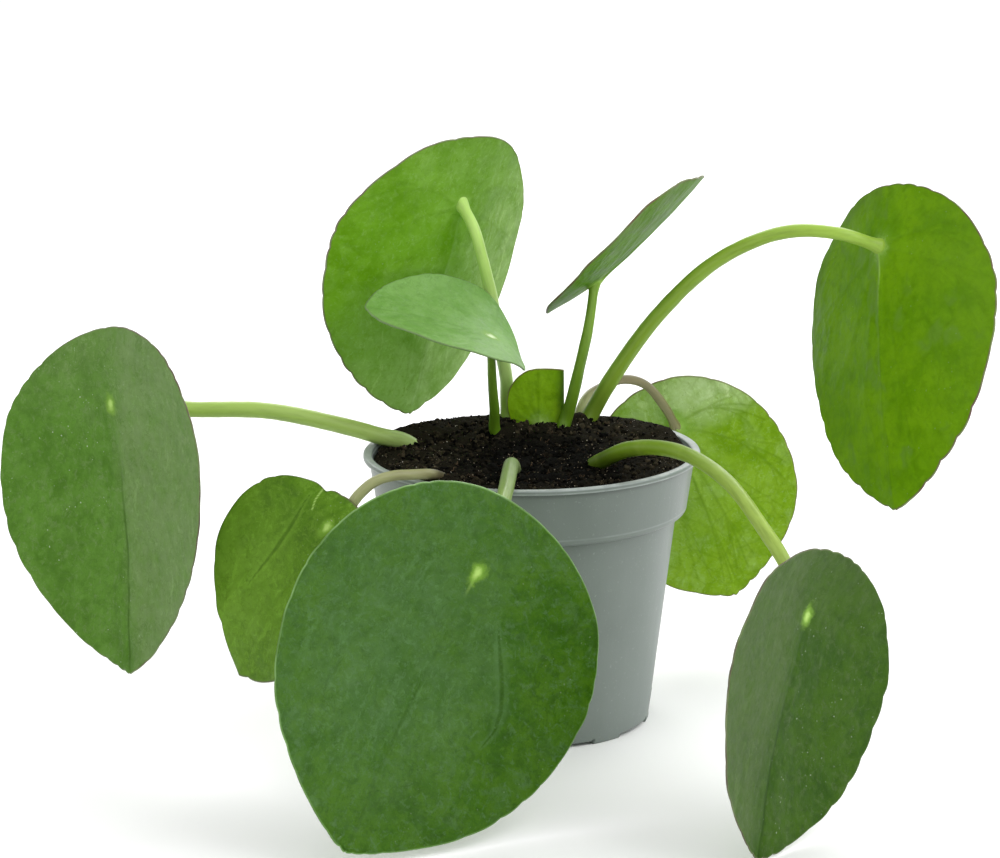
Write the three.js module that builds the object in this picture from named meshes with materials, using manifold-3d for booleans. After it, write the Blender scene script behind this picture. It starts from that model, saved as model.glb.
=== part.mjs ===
// Potted Chinese money plant: a nursery pot of soil, a short buried main stem, and ten round
// leaves, each carried near its middle by its own leaf stem.
// Millimetres, +Z up. The origin is the centre of the pot's underside, and -Y is the front.
import * as THREE from 'three';
import { mergeVertices } from 'three/addons/utils/BufferGeometryUtils.js';
import Module from 'manifold-3d';

// Pot
const POT_HEIGHT = 86;
const RIM_RADIUS = 52.5;
const RIM_THICKNESS = 1.9;
const RIM_BEVEL = 0.5;
const COLLAR_TOP_RADIUS = 50.8;
const COLLAR_LOW_RADIUS = 48.4;
const COLLAR_DROP = 16.9;
const COLLAR_CORNER = 2;
const COLLAR_STEP = 1;
const NECK_RADIUS = 45.1;
const BASE_RADIUS = 36.5;
const BASE_CORNER = 1.6;
const WALL = 1.1;
const FLOOR_THICKNESS = 1.2;
const FOOT_HEIGHT = 1;
const FOOT_WIDTH = 2.4;
const FOOT_COUNT = 8;
const FOOT_ANGLE = 16.5;
const FIRST_FOOT_ANGLE = 39;
const NOTCH_OVERCUT = 0.5;
const CENTRE_PAD_RADIUS = 7;
const DRAIN_HOLE_RADIUS = 3.5;
const DRAIN_HOLE_CIRCLE = 25;
const DRAIN_HOLE_SIDES = 12;
const POT_SIDES = 48;

// Soil
const SOIL_LEVEL = 84.6;
const SOIL_RISE_TO_BACK = 1;
const SOIL_HEAP = { x: 3, y: 30, height: 3, spread: 15 };
const SOIL_RINGS = 7;

// Main stem, buried in the soil, that every leaf stem grows from. Its ends narrow.
const MAIN_STEM = { x: 3, y: 16, radius: 5, bottom: 56, top: 85.5 };
const MAIN_STEM_ROOT_END = { radius: 3, length: 6 };
const MAIN_STEM_TOP_END = { radius: 2.5, length: 3 };
const MAIN_STEM_SIDES = 16;

// Neighbours that touch keep these gaps.
const SOIL_GAP_AT_FLOOR = 0.3;
const SOIL_GAP_AT_WALL = 0.4;
const SOIL_GAP_AT_RIM = 0.6;
const STEM_END_GAP = 0.4;
const SOIL_GAP_AT_LEAF_STEMS = 0.5;
const SOIL_GAP_ELSEWHERE = 0.9;

// The cup steepens towards the side edges, and the blade thins towards its whole edge.
const CUP_POWER = 1.6;
const THINNING_POWER = 4;
const LEAF_THICKNESS = 1;
const LEAF_SIDES = 26;
const LEAF_RINGS = 5;
const STEM_CURVE_SEGMENTS = 4;
const STEM_STEP = 8;
const BURIED_TURN = 3;

// One row per leaf.
// at: where the leaf stem joins the blade.
// facing: where the upper face looks, in degrees from the front towards +X.
// lift: how far the upper face looks up. turn: how far the tip is turned from straight downhill.
// tip, back: length from the joint to the tip and to the far edge. left, right: half widths.
// middle: how far towards the tip the widest line lies. point: 0 for a round tip, up to 1.
// cup: rise of both side edges. tipCurl, backCurl: rise of the two ends.
// bud: height on the main stem where the leaf stem starts. width: stem at its foot and its top.
// route: the leaf stem's centre line from where it leaves the soil.
const LEAVES = [
  {
    name: 'left', at: [-130, -5, 103], facing: -42, lift: 3, turn: 17,
    tip: 83, back: 23.5, left: 46, right: 47.5, middle: 18.5, point: 0.48,
    cup: 9.5, tipCurl: 9.5, backCurl: -2, bud: 73, width: [5.2, 4.6],
    buried: [[-28, 17, 80]],
    route: [
      [-40.2, 15, 85.7], [-47, 10.5, 88.7], [-57.5, 9, 92.2], [-82.5, 7, 98], [-106.5, 6, 98.7],
      [-121, 2, 100.5],
    ],
  },
  {
    name: 'low_left', at: [-61.5, -55, 76], facing: -36, lift: 23, turn: -30,
    tip: 54, back: 9.5, left: 30, right: 30, middle: 14, point: 0.45,
    cup: 4, tipCurl: -8.5, backCurl: -3, bud: 68, width: [3.6, 3.2],
    buried: [[-21, -15, 78]],
    route: [
      [-28, -25.5, 84], [-31.8, -38.6, 88.1], [-36.5, -43, 89], [-42, -45, 89.2],
      [-47.3, -47, 88], [-51.8, -48, 84.5], [-55.5, -49, 80],
    ],
  },
  {
    name: 'front', at: [-16.5, -105, 75.5], facing: 21, lift: 5, turn: -34,
    tip: 86, back: 22, left: 49, right: 48, middle: 23.5, point: 0.49,
    cup: 3.5, tipCurl: 15.5, backCurl: -4.5, bud: 76, width: [5, 4.4],
    buried: [],
    route: [
      [-5.8, -8.5, 84.4], [-6.3, -24, 87.4], [-6.8, -38, 89.4], [-7.5, -50, 89.2],
      [-9, -70, 88], [-12.5, -90, 83.5], [-14.7, -99, 79.5],
    ],
  },
  {
    name: 'low_right', at: [76, -114, 64.5], facing: 48.5, lift: -1.5, turn: -24.5,
    tip: 69, back: 19.5, left: 39, right: 37, middle: 11, point: 0.56,
    cup: 6, tipCurl: 7, backCurl: 4, bud: 70, width: [5.4, 3.6],
    buried: [],
    route: [
      [17.5, -10.5, 84.3], [29.5, -29, 93.2], [43.5, -52, 97.4], [56, -77, 94.4],
      [65.2, -99, 85.4], [70.2, -107.5, 78.5],
    ],
  },
  {
    name: 'right', at: [109, 10, 147.5], facing: 120, lift: -16.5, turn: -19.5,
    tip: 82, back: 18.5, left: 43.5, right: 44.5, middle: 22, point: 0.59,
    cup: 8, tipCurl: 10.5, backCurl: -1, bud: 74.5, width: [5.6, 3.8],
    buried: [[13, 27, 78]],
    route: [
      [20, 35.5, 87], [26, 33.5, 100.3], [40.5, 29, 122.6], [59, 22, 141.5], [79, 12, 152],
      [95, 6.5, 152.5],
    ],
  },
  {
    name: 'back_left', at: [-21.5, 30, 159], facing: -136, lift: 17, turn: 8,
    tip: 71.5, back: 23, left: 43, right: 40, middle: 21.5, point: 0.38,
    cup: 8.5, tipCurl: -4.5, backCurl: -1, bud: 75, width: [5, 3.4],
    buried: [[-5.5, 36, 80]],
    route: [
      [-7.2, 41, 87.6], [-7.6, 39, 100], [-10, 34, 115], [-12.3, 29, 130], [-15, 25, 142.7],
      [-17.5, 24.5, 152],
    ],
  },
  {
    name: 'back_right', at: [48.5, 72, 76.5], facing: 182, lift: 1.5, turn: -18,
    tip: 62, back: 16.5, left: 35, right: 34.5, middle: 21.5, point: 0.52,
    cup: 2.5, tipCurl: -3, backCurl: 0.5, bud: 68, width: [3.8, 2.6],
    buried: [[14, 37, 80]],
    route: [
      [15.7, 41, 87], [18.5, 46.5, 92.2], [24.5, 52, 94.9], [30.5, 56.5, 96], [38, 62, 93],
      [45, 67, 83.8],
    ],
  },
  {
    name: 'up_right', at: [20.5, 26, 134], facing: -115, lift: 50, turn: -158,
    tip: 47.5, back: 17, left: 28.5, right: 29, middle: 29, point: 0.15,
    cup: 3.5, tipCurl: 5.5, backCurl: 2, bud: 81.5, width: [5.4, 2.8],
    buried: [],
    route: [[12.3, 24.5, 87.6], [13.7, 25, 93.5], [16, 24, 107.3], [18.7, 24, 121]],
  },
  {
    name: 'small', at: [-12.4, 5, 121.1], facing: 65, lift: 60, turn: -143,
    tip: 40.5, back: 13.5, left: 23, right: 24.5, middle: 8.5, point: 0.2,
    cup: 4, tipCurl: -6, backCurl: -4.5, bud: 80, width: [4.4, 2.4],
    buried: [],
    route: [[-11, 19.6, 86.7], [-11.5, 15, 96], [-12.1, 10, 106.2]],
  },
  {
    name: 'young', at: [3, 28.5, 87], facing: 180, lift: 0, turn: 180,
    tip: 18.5, back: 4, left: 9, right: 11, middle: 7.5, point: 0,
    cup: 3, tipCurl: 1, backCurl: 0, bud: 82, width: [3, 2.6],
    buried: [[3, 25.5, 84.5]],
    route: [],
  },
];

const COLOURS = {
  pot: 0x7f8b85, soil: 0x1e1712, mainStem: 0x5b4a32, leaf: 0x3f6b24, leafStem: 0x86a544,
};

const wasm = await Module();
wasm.setup();

const radians = THREE.MathUtils.degToRad;

function soilHeight(x, y) {
  const away = (x - SOIL_HEAP.x) ** 2 + (y - SOIL_HEAP.y) ** 2;
  const heap = SOIL_HEAP.height * Math.exp(-away / (2 * SOIL_HEAP.spread ** 2));
  return SOIL_LEVEL + SOIL_RISE_TO_BACK * (y / NECK_RADIUS) + heap;
}

// Faces only, with shared corners merged and faces that have no area left out.
function closedFaces(geometry) {
  const bare = geometry.clone();
  bare.deleteAttribute('normal');
  bare.deleteAttribute('uv');
  const merged = mergeVertices(bare, 1e-4);
  const index = merged.index.array;
  const kept = [];
  for (let i = 0; i < index.length; i += 3) {
    const [a, b, c] = [index[i], index[i + 1], index[i + 2]];
    if (a !== b && b !== c && c !== a) kept.push(a, b, c);
  }
  merged.setIndex(kept);
  return merged;
}

// The same closed shape with every corner moved outwards.
function grown(geometry, distance) {
  const faces = closedFaces(geometry);
  faces.computeVertexNormals();
  const { position, normal } = faces.attributes;
  for (let i = 0; i < position.count; i += 1) {
    position.setXYZ(i, position.getX(i) + distance * normal.getX(i),
      position.getY(i) + distance * normal.getY(i), position.getZ(i) + distance * normal.getZ(i));
  }
  return faces;
}

function toSolid(geometry) {
  const faces = closedFaces(geometry);
  return new wasm.Manifold(new wasm.Mesh({
    numProp: 3,
    vertProperties: new Float32Array(faces.attributes.position.array),
    triVerts: new Uint32Array(faces.index.array),
  }));
}

function toGeometry(solid) {
  const mesh = solid.getMesh();
  const geometry = new THREE.BufferGeometry();
  geometry.setAttribute('position', new THREE.BufferAttribute(mesh.vertProperties, mesh.numProp));
  geometry.setIndex(new THREE.BufferAttribute(mesh.triVerts, 1));
  return geometry;
}

// A profile of [radius, height] corners, spun round the Z axis.
function turned(profile, sides) {
  const points = profile.map(([radius, height]) => new THREE.Vector2(radius, height));
  return new THREE.LatheGeometry(points, sides).rotateX(Math.PI / 2);
}

// Corners of a quarter round from one profile point to the next, bulging towards `corner`.
function rounded(from, corner, to, steps = 3) {
  const curve = new THREE.QuadraticBezierCurve(
    new THREE.Vector2(...from), new THREE.Vector2(...corner), new THREE.Vector2(...to));
  return curve.getPoints(steps).map((point) => [point.x, point.y]);
}

function potSolid() {
  const floorTop = FOOT_HEIGHT + FLOOR_THICKNESS;
  const footInner = BASE_RADIUS - BASE_CORNER - FOOT_WIDTH;
  const lipBottom = POT_HEIGHT - RIM_THICKNESS;
  const collarLow = POT_HEIGHT - COLLAR_DROP;
  const neckTop = collarLow - COLLAR_CORNER;
  const profile = [
    [0, 0], [CENTRE_PAD_RADIUS, 0], [CENTRE_PAD_RADIUS, FOOT_HEIGHT], [footInner, FOOT_HEIGHT],
    [footInner, 0],
    ...rounded([BASE_RADIUS - BASE_CORNER, 0], [BASE_RADIUS, 0], [BASE_RADIUS, BASE_CORNER]),
    [NECK_RADIUS, neckTop],
    ...rounded([NECK_RADIUS + COLLAR_STEP, neckTop], [COLLAR_LOW_RADIUS, neckTop],
      [COLLAR_LOW_RADIUS, collarLow]),
    [COLLAR_TOP_RADIUS, lipBottom], [RIM_RADIUS, lipBottom], [RIM_RADIUS, POT_HEIGHT - RIM_BEVEL],
    [RIM_RADIUS - RIM_BEVEL, POT_HEIGHT], [COLLAR_TOP_RADIUS - WALL + RIM_BEVEL, POT_HEIGHT],
    [COLLAR_TOP_RADIUS - WALL, POT_HEIGHT - RIM_BEVEL],
    [COLLAR_LOW_RADIUS - WALL, collarLow + WALL], [NECK_RADIUS - WALL, neckTop + WALL],
    [BASE_RADIUS - WALL, floorTop + BASE_CORNER], [BASE_RADIUS - WALL - BASE_CORNER, floorTop],
    [0, floorTop],
  ];
  let pot = toSolid(turned(profile, POT_SIDES));
  const pitch = 360 / FOOT_COUNT;
  const notchWidth = 2 * BASE_RADIUS * Math.sin(radians((pitch - FOOT_ANGLE) / 2));
  const notchDepth = 2 * (BASE_RADIUS - footInner + NOTCH_OVERCUT);
  for (let i = 0; i < FOOT_COUNT; i += 1) {
    const turn = radians(FIRST_FOOT_ANGLE + (i + 0.5) * pitch);
    const notch = new THREE.BoxGeometry(notchWidth, notchDepth, 2 * FOOT_HEIGHT);
    notch.translate(0, -BASE_RADIUS, 0).rotateZ(turn);
    const hole = new THREE.CylinderGeometry(
      DRAIN_HOLE_RADIUS, DRAIN_HOLE_RADIUS, 4 * floorTop, DRAIN_HOLE_SIDES);
    hole.rotateX(Math.PI / 2).translate(0, -DRAIN_HOLE_CIRCLE, 0).rotateZ(turn);
    pot = pot.subtract(toSolid(notch)).subtract(toSolid(hole));
  }
  return pot;
}

function soilBlock() {
  const bottom = FOOT_HEIGHT + FLOOR_THICKNESS + SOIL_GAP_AT_FLOOR;
  const inside = WALL + SOIL_GAP_AT_WALL;
  const collarLow = POT_HEIGHT - COLLAR_DROP + inside;
  const neckTop = collarLow - COLLAR_CORNER;
  const topRadius = COLLAR_TOP_RADIUS - WALL - SOIL_GAP_AT_RIM;
  const profile = [
    [0, bottom], [BASE_RADIUS - inside - BASE_CORNER, bottom],
    [NECK_RADIUS - inside, neckTop], [COLLAR_LOW_RADIUS - inside, collarLow],
  ];
  for (let i = 0; i <= SOIL_RINGS; i += 1) {
    profile.push([topRadius * (1 - i / SOIL_RINGS), SOIL_LEVEL]);
  }
  const block = turned(profile, POT_SIDES);
  const position = block.attributes.position;
  for (let i = 0; i < position.count; i += 1) {
    if (position.getZ(i) > collarLow + 1) {
      position.setZ(i, soilHeight(position.getX(i), position.getY(i)));
    }
  }
  return block;
}

function mainStem() {
  const { x, y, radius, bottom, top } = MAIN_STEM;
  const [rootEnd, topEnd] = [MAIN_STEM_ROOT_END, MAIN_STEM_TOP_END];
  const profile = [
    [0, bottom], [rootEnd.radius, bottom], [radius, bottom + rootEnd.length],
    [radius, top - topEnd.length], [topEnd.radius, top], [0, top],
  ];
  return turned(profile, MAIN_STEM_SIDES).translate(x, y, 0);
}

// Axes of a blade: across it, towards its tip, and out of its upper face.
function bladeAxes(leaf) {
  const [facing, lift, turn] = [radians(leaf.facing), radians(leaf.lift), radians(leaf.turn)];
  const up = new THREE.Vector3(
    Math.sin(facing) * Math.cos(lift), -Math.cos(facing) * Math.cos(lift), Math.sin(lift));
  const downhill = new THREE.Vector3(0, 0, -1).addScaledVector(up, up.z).normalize();
  const level = new THREE.Vector3().crossVectors(up, downhill);
  const along = downhill.multiplyScalar(Math.cos(turn)).addScaledVector(level, Math.sin(turn));
  const across = new THREE.Vector3().crossVectors(along, up);
  return { across, along, up };
}

// A blade is a flattened ball: its two poles lie at the joint and its equator is the leaf's edge.
function blade(leaf) {
  const { across, along, up } = bladeAxes(leaf);
  const ball = new THREE.SphereGeometry(1, LEAF_SIDES, 2 * LEAF_RINGS);
  const position = ball.attributes.position;
  const point = new THREE.Vector3();
  const halfWidth = (leaf.left + leaf.right) / 2;
  for (let i = 0; i < position.count; i += 1) {
    point.fromBufferAttribute(position, i);
    const flat = Math.hypot(point.x, point.z);
    const toTip = flat > 1e-6 ? point.x / flat : 0;
    const toSide = flat > 1e-6 ? point.z / flat : 0;
    const out = Math.acos(Math.min(1, Math.abs(point.y))) / (Math.PI / 2);
    const side = toSide > 0 ? leaf.right : leaf.left;
    const end = toTip > 0 ? leaf.tip - leaf.middle : leaf.back + leaf.middle;
    const taper = Math.abs(toSide) ** (leaf.point * Math.max(0, toTip));
    const u = out * side * toSide * taper;
    const v = out * (leaf.middle + end * toTip);
    let height = leaf.cup * (Math.abs(u) / halfWidth) ** CUP_POWER;
    height += v > 0 ? leaf.tipCurl * (v / leaf.tip) ** 2 : leaf.backCurl * (v / leaf.back) ** 2;
    height += Math.sign(point.y) * (LEAF_THICKNESS / 2) * (1 - out ** THINNING_POWER);
    point.set(...leaf.at).addScaledVector(across, u).addScaledVector(along, v);
    point.addScaledVector(up, height);
    position.setXYZ(i, point.x, point.y, point.z);
  }
  return ball;
}

// Centre line of a leaf stem: out of the main stem, up through the soil, and under the blade.
function stemLine(leaf) {
  const { up } = bladeAxes(leaf);
  const first = leaf.buried[0] || leaf.route[0];
  const heading = Math.atan2(first[1] - MAIN_STEM.y, first[0] - MAIN_STEM.x);
  const leaving = (distance) => new THREE.Vector3(
    MAIN_STEM.x + Math.cos(heading) * distance, MAIN_STEM.y + Math.sin(heading) * distance,
    leaf.bud);
  const start = MAIN_STEM.radius + STEM_END_GAP;
  const places = [
    leaving(start), leaving(start + BURIED_TURN),
    ...[...leaf.buried, ...leaf.route].map((place) => new THREE.Vector3(...place)),
  ];
  // The stem's flat end stops short of the blade by the gap, measured at its nearest corner.
  let line;
  let standOff = LEAF_THICKNESS;
  for (let pass = 0; pass < 3; pass += 1) {
    const end = new THREE.Vector3(...leaf.at).addScaledVector(up, -standOff);
    line = new THREE.CatmullRomCurve3([...places, end], false, 'centripetal');
    const tilt = Math.sqrt(1 - line.getTangent(1).dot(up) ** 2);
    standOff = LEAF_THICKNESS / 2 + STEM_END_GAP + (leaf.width[1] / 2) * tilt;
  }
  return line;
}

// A tube along the line that narrows evenly from its foot to its top.
function leafStem(leaf) {
  const line = stemLine(leaf);
  const steps = Math.max(3, Math.round(line.getLength() / STEM_STEP));
  const [foot, top] = leaf.width.map((width) => width / 2);
  const section = new THREE.Shape().absarc(0, 0, 1, 0, 2 * Math.PI);
  const tube = new THREE.ExtrudeGeometry(section, {
    steps, extrudePath: line, curveSegments: STEM_CURVE_SEGMENTS,
  });
  const centres = line.getSpacedPoints(steps);
  const position = tube.attributes.position;
  const point = new THREE.Vector3();
  for (let i = 0; i < position.count; i += 1) {
    point.fromBufferAttribute(position, i);
    let nearest = 0;
    centres.forEach((centre, k) => {
      if (centre.distanceTo(point) < centres[nearest].distanceTo(point)) nearest = k;
    });
    const radius = THREE.MathUtils.lerp(foot, top, nearest / steps);
    point.sub(centres[nearest]).multiplyScalar(radius).add(centres[nearest]);
    position.setXYZ(i, point.x, point.y, point.z);
  }
  return tube;
}

// The soil, with room for the main stem, the leaf stems and the young leaf that stand in it.
function soilSolid() {
  const youngLeaf = LEAVES.find((leaf) => leaf.name === 'young');
  const planted = [
    ...LEAVES.map((leaf) => grown(leafStem(leaf), SOIL_GAP_AT_LEAF_STEMS)),
    grown(mainStem(), SOIL_GAP_ELSEWHERE), grown(blade(youngLeaf), SOIL_GAP_ELSEWHERE),
  ];
  return planted.reduce((soil, piece) => soil.subtract(toSolid(piece)), toSolid(soilBlock()));
}

const plant = new THREE.Group();

function addPiece(name, geometry, color, roughness) {
  const material = new THREE.MeshStandardMaterial({ color, roughness, metalness: 0 });
  const mesh = new THREE.Mesh(closedFaces(geometry), material);
  mesh.name = name;
  plant.add(mesh);
}

addPiece('pot', toGeometry(potSolid()), COLOURS.pot, 0.5);
addPiece('soil', toGeometry(soilSolid()), COLOURS.soil, 0.95);
addPiece('main_stem', mainStem(), COLOURS.mainStem, 0.8);
for (const leaf of LEAVES) {
  addPiece(`leaf_stem_${leaf.name}`, leafStem(leaf), COLOURS.leafStem, 0.45);
  addPiece(`leaf_${leaf.name}`, blade(leaf), COLOURS.leaf, 0.35);
}

export default plant;
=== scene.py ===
"""Potted Chinese money plant: its looks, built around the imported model.

Blender's own unit is the metre. The plant is modelled in millimetres, as it was measured, and each
mesh is brought to metres when it is finished. +Z is up, -Y is the front, and the origin is the
centre of the pot's underside.
"""
import math
import random
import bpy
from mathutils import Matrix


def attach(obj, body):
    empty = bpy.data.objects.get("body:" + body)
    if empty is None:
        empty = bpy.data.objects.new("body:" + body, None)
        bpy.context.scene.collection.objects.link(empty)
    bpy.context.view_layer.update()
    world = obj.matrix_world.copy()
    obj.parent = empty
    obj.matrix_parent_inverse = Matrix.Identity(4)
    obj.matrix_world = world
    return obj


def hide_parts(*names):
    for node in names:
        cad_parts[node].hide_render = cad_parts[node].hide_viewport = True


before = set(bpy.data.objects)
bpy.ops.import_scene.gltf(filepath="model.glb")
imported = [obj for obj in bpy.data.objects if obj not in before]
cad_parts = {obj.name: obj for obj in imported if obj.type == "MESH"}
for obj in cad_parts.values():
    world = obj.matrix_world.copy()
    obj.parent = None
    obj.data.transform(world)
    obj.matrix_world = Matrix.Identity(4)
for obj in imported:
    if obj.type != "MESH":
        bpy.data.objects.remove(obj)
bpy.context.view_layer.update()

from types import SimpleNamespace

import bmesh
import bpy
import numpy as np
from bmesh.types import BMEdge, BMVert
from mathutils import Matrix, Vector, noise

MM = 0.001

# Camera, in metres and degrees, fitted to the ellipses of the pot's rim, collar and base.
CAMERA_PLACE = (-0.0098, -1.0612, 0.3392)
CAMERA_LOOKS_DOWN = 13.07
CAMERA_ROLL = -0.5
CAMERA_LENS = 126

# Light: strength of the sky at its left and its right, and where the lamps are turned.
SKY_STRENGTH = (0.66, 1.28)
LIGHTS_AIM = (0, 0, 0.08)

# Pot, in millimetres.
POT_HEIGHT = 86
RIM_RADIUS = 52.5
RIM_THICKNESS = 1.6
COLLAR_TOP_RADIUS = 50.8
COLLAR_LOW_RADIUS = 48.4
COLLAR_DROP = 16.9
COLLAR_CORNER = 2
COLLAR_STEP = 1
NECK_RADIUS = 45.1
BASE_RADIUS = 36.5
BASE_CORNER = 1.6
WALL = 1.1
FLOOR_THICKNESS = 1.2
FOOT_HEIGHT = 1
FOOT_WIDTH = 2.4
FOOT_INNER = BASE_RADIUS - BASE_CORNER - FOOT_WIDTH
FOOT_COUNT = 8
FOOT_ANGLE = 16.5
FIRST_FOOT_ANGLE = 39
CENTRE_PAD_RADIUS = 7
DRAIN_HOLE_RADIUS = 3.5
DRAIN_HOLE_CIRCLE = 25
MOULD_LINE_HEIGHT = 9
MOULD_LINE_DEPTH = 0.12
POT_STEPS = 240

# Soil
SOIL_LEVEL = 84.6
SOIL_RISE_TO_BACK = 1
# Heaps of soil, as (x, y, height, spread).
SOIL_HEAPS = ((3, 30, 3, 15), (-7.5, 23.5, 2, 3.6), (16.2, 35, 3.2, 2.3), (17, -11, 1.8, 3.4))
# Painted shade: the soil is darkest within the first radius of this centre and pales out to the
# second.
SHADED_SOIL_CENTRE = (5, -12)
SHADED_SOIL_RADII = (20, 40)
BANK_TOP = 86.5
BANK_SIDE_RISE = 1.8
BANK_FROM_RADIUS = (36, 45)
BANK_FROM_Y = (12, 22)
SOIL_TOP_RADIUS = 49.1
SOIL_GAP = 0.4
SOIL_BOTTOM = 2.5
SOIL_CELLS = 150
CRUMB_COUNT = 5000
CRUMBS_AT_A_TIME = 100
CRUMB_STRETCH = ((0.7, 1.5), (0.6, 1), (0.5, 0.9))
FINE_SOIL_FROM = 41
SPECK_COUNT = 1300
FIBRE_COUNT = 90
FIBRE_POINTS = 6
FIBRE_SIDES = 4
FIBRE_SEED = 5

# Main stem
MAIN_STEM_PLACE = (3, 16)
MAIN_STEM_RADIUS = 5
MAIN_STEM_HEIGHTS = (56, 85.5)
MAIN_STEM_RINGS = 40
MAIN_STEM_SIDES = 32

# Leaf blades. Heights and depths of the relief are those of a leaf of the usual half width, and
# a wave is (height, length, seed).
USUAL_HALF_WIDTH = 45
CUP_POWER = 1.6
BLADE_THICKNESS = 0.62
RIM_BULGE = 0.28
NOTCH_WIDTH = 0.07
BLADE_WAVES = ((1.2, 26, 0), (0.32, 8, 20))
RIPPLE_HEIGHT = 0.3
RIPPLE_COUNT = 9
BULGE_HEIGHT = 0.12
BULGE_WIDTH = 5
RIB_GROOVE_DEPTH = 0.22
RIB_GROOVE_WIDTH = 1.4
CREASE_DEPTH = 0.12
CREASE_WIDTH = 1.3
FOLD_SHRINK = 0.6
FOLD_RADIUS = 1.2
VEIN_ANGLES = (29, 61, 97, 138)
VEIN_STEPS = 12

# Leaf stems
STEM_SIDES = 20
STEM_STEP = 1.6
STEM_START_GAP = 0.4
BURIED_TURN = 3
STEM_FLARE = 0.4
STEM_FLARE_LENGTH = 2.2
STEM_FOOT_SWELL = 0.06
STEM_FOOT_LENGTH = 3.5
STEM_UNEVENNESS = 0.035

# One row per leaf, in millimetres and degrees. Places on a blade are (across, along), from the
# leaf stem's joint.
#
# Where it stands
#   at: the joint of leaf stem and blade. facing: where the upper face looks, from the front
#   towards +X. lift: how far it looks up. turn: how far the tip is turned from straight downhill.
# Outline
#   tip, back, left, right: lengths and half widths. middle: how far towards the tip the widest
#   line lies. point, left_point: 0 for a round tip, for the right and the left half. sway: how far
#   the blade bends in an S. scallops: how many lobes the edge has, and how deep. notch: where the
#   edge is nicked, and how deep.
# Relief
#   cup, tip_curl, back_curl: how far the edges and the ends rise. left_cup: cup of the left half,
#   where it differs. crease: a fold line. fold: how far out the left half turns back, and by how
#   many degrees. cells: how many faces the blade has from side to side.
# Leaf stem
#   bud: height at which it leaves the main stem. buried, route: places that it passes below and
#   above the soil. width: at its foot and at its top. stem: tones at its foot, middle and top.
# Looks
#   upper, under: dark and light tone of each face. rim: tones of the edge, above and below.
#   bloom: tone of the pale bloom. upper_bloom: the same for the upper face, where it differs.
#   bloom: tone of the painted light, mostly a pale painted sheen and reflection; on
#   low_left, back_left and back_right it also lightens parts in shade, and on young's under face
#   it is painted shade. upper_bloom: the same for the upper face, where it differs.
#   haze: where the painted light lies, as ellipses of (across, along, two
#   radii, softness, strength). edge_haze: painted sheen along an edge, as
#   (side, from, to, width, strength). haze_ends_at_crease: it fades beyond
#   the crease. mottle, midrib, specks, rays, ovals, tail: how strongly they show;
#   ovals are painted highlights where the blade bulges between its veins.
#   joint_tone: tone of the spot at the joint. scar: a pale scratch.
PLAIN_LEAF = {
    "left_point": 0, "sway": 0, "notch": None, "left_cup": None, "crease": (), "fold": None,
    "buried": (), "route": (), "upper": ((66, 106, 30), (92, 128, 50)),
    "under": ((84, 128, 22), (112, 156, 50)), "upper_bloom": None, "edge_haze": None,
    "haze_ends_at_crease": False, "mottle": 1.0, "veins": (0.1, 0.14), "rays": 0.2, "ovals": 0.25,
    "tail": 0.0, "glow": 0.2, "joint_tone": (178, 214, 112), "scar": (),
}


def row(**given):
    """One leaf: what is given for it, and the plain values for the rest."""
    return SimpleNamespace(**{**PLAIN_LEAF, **given})


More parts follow.
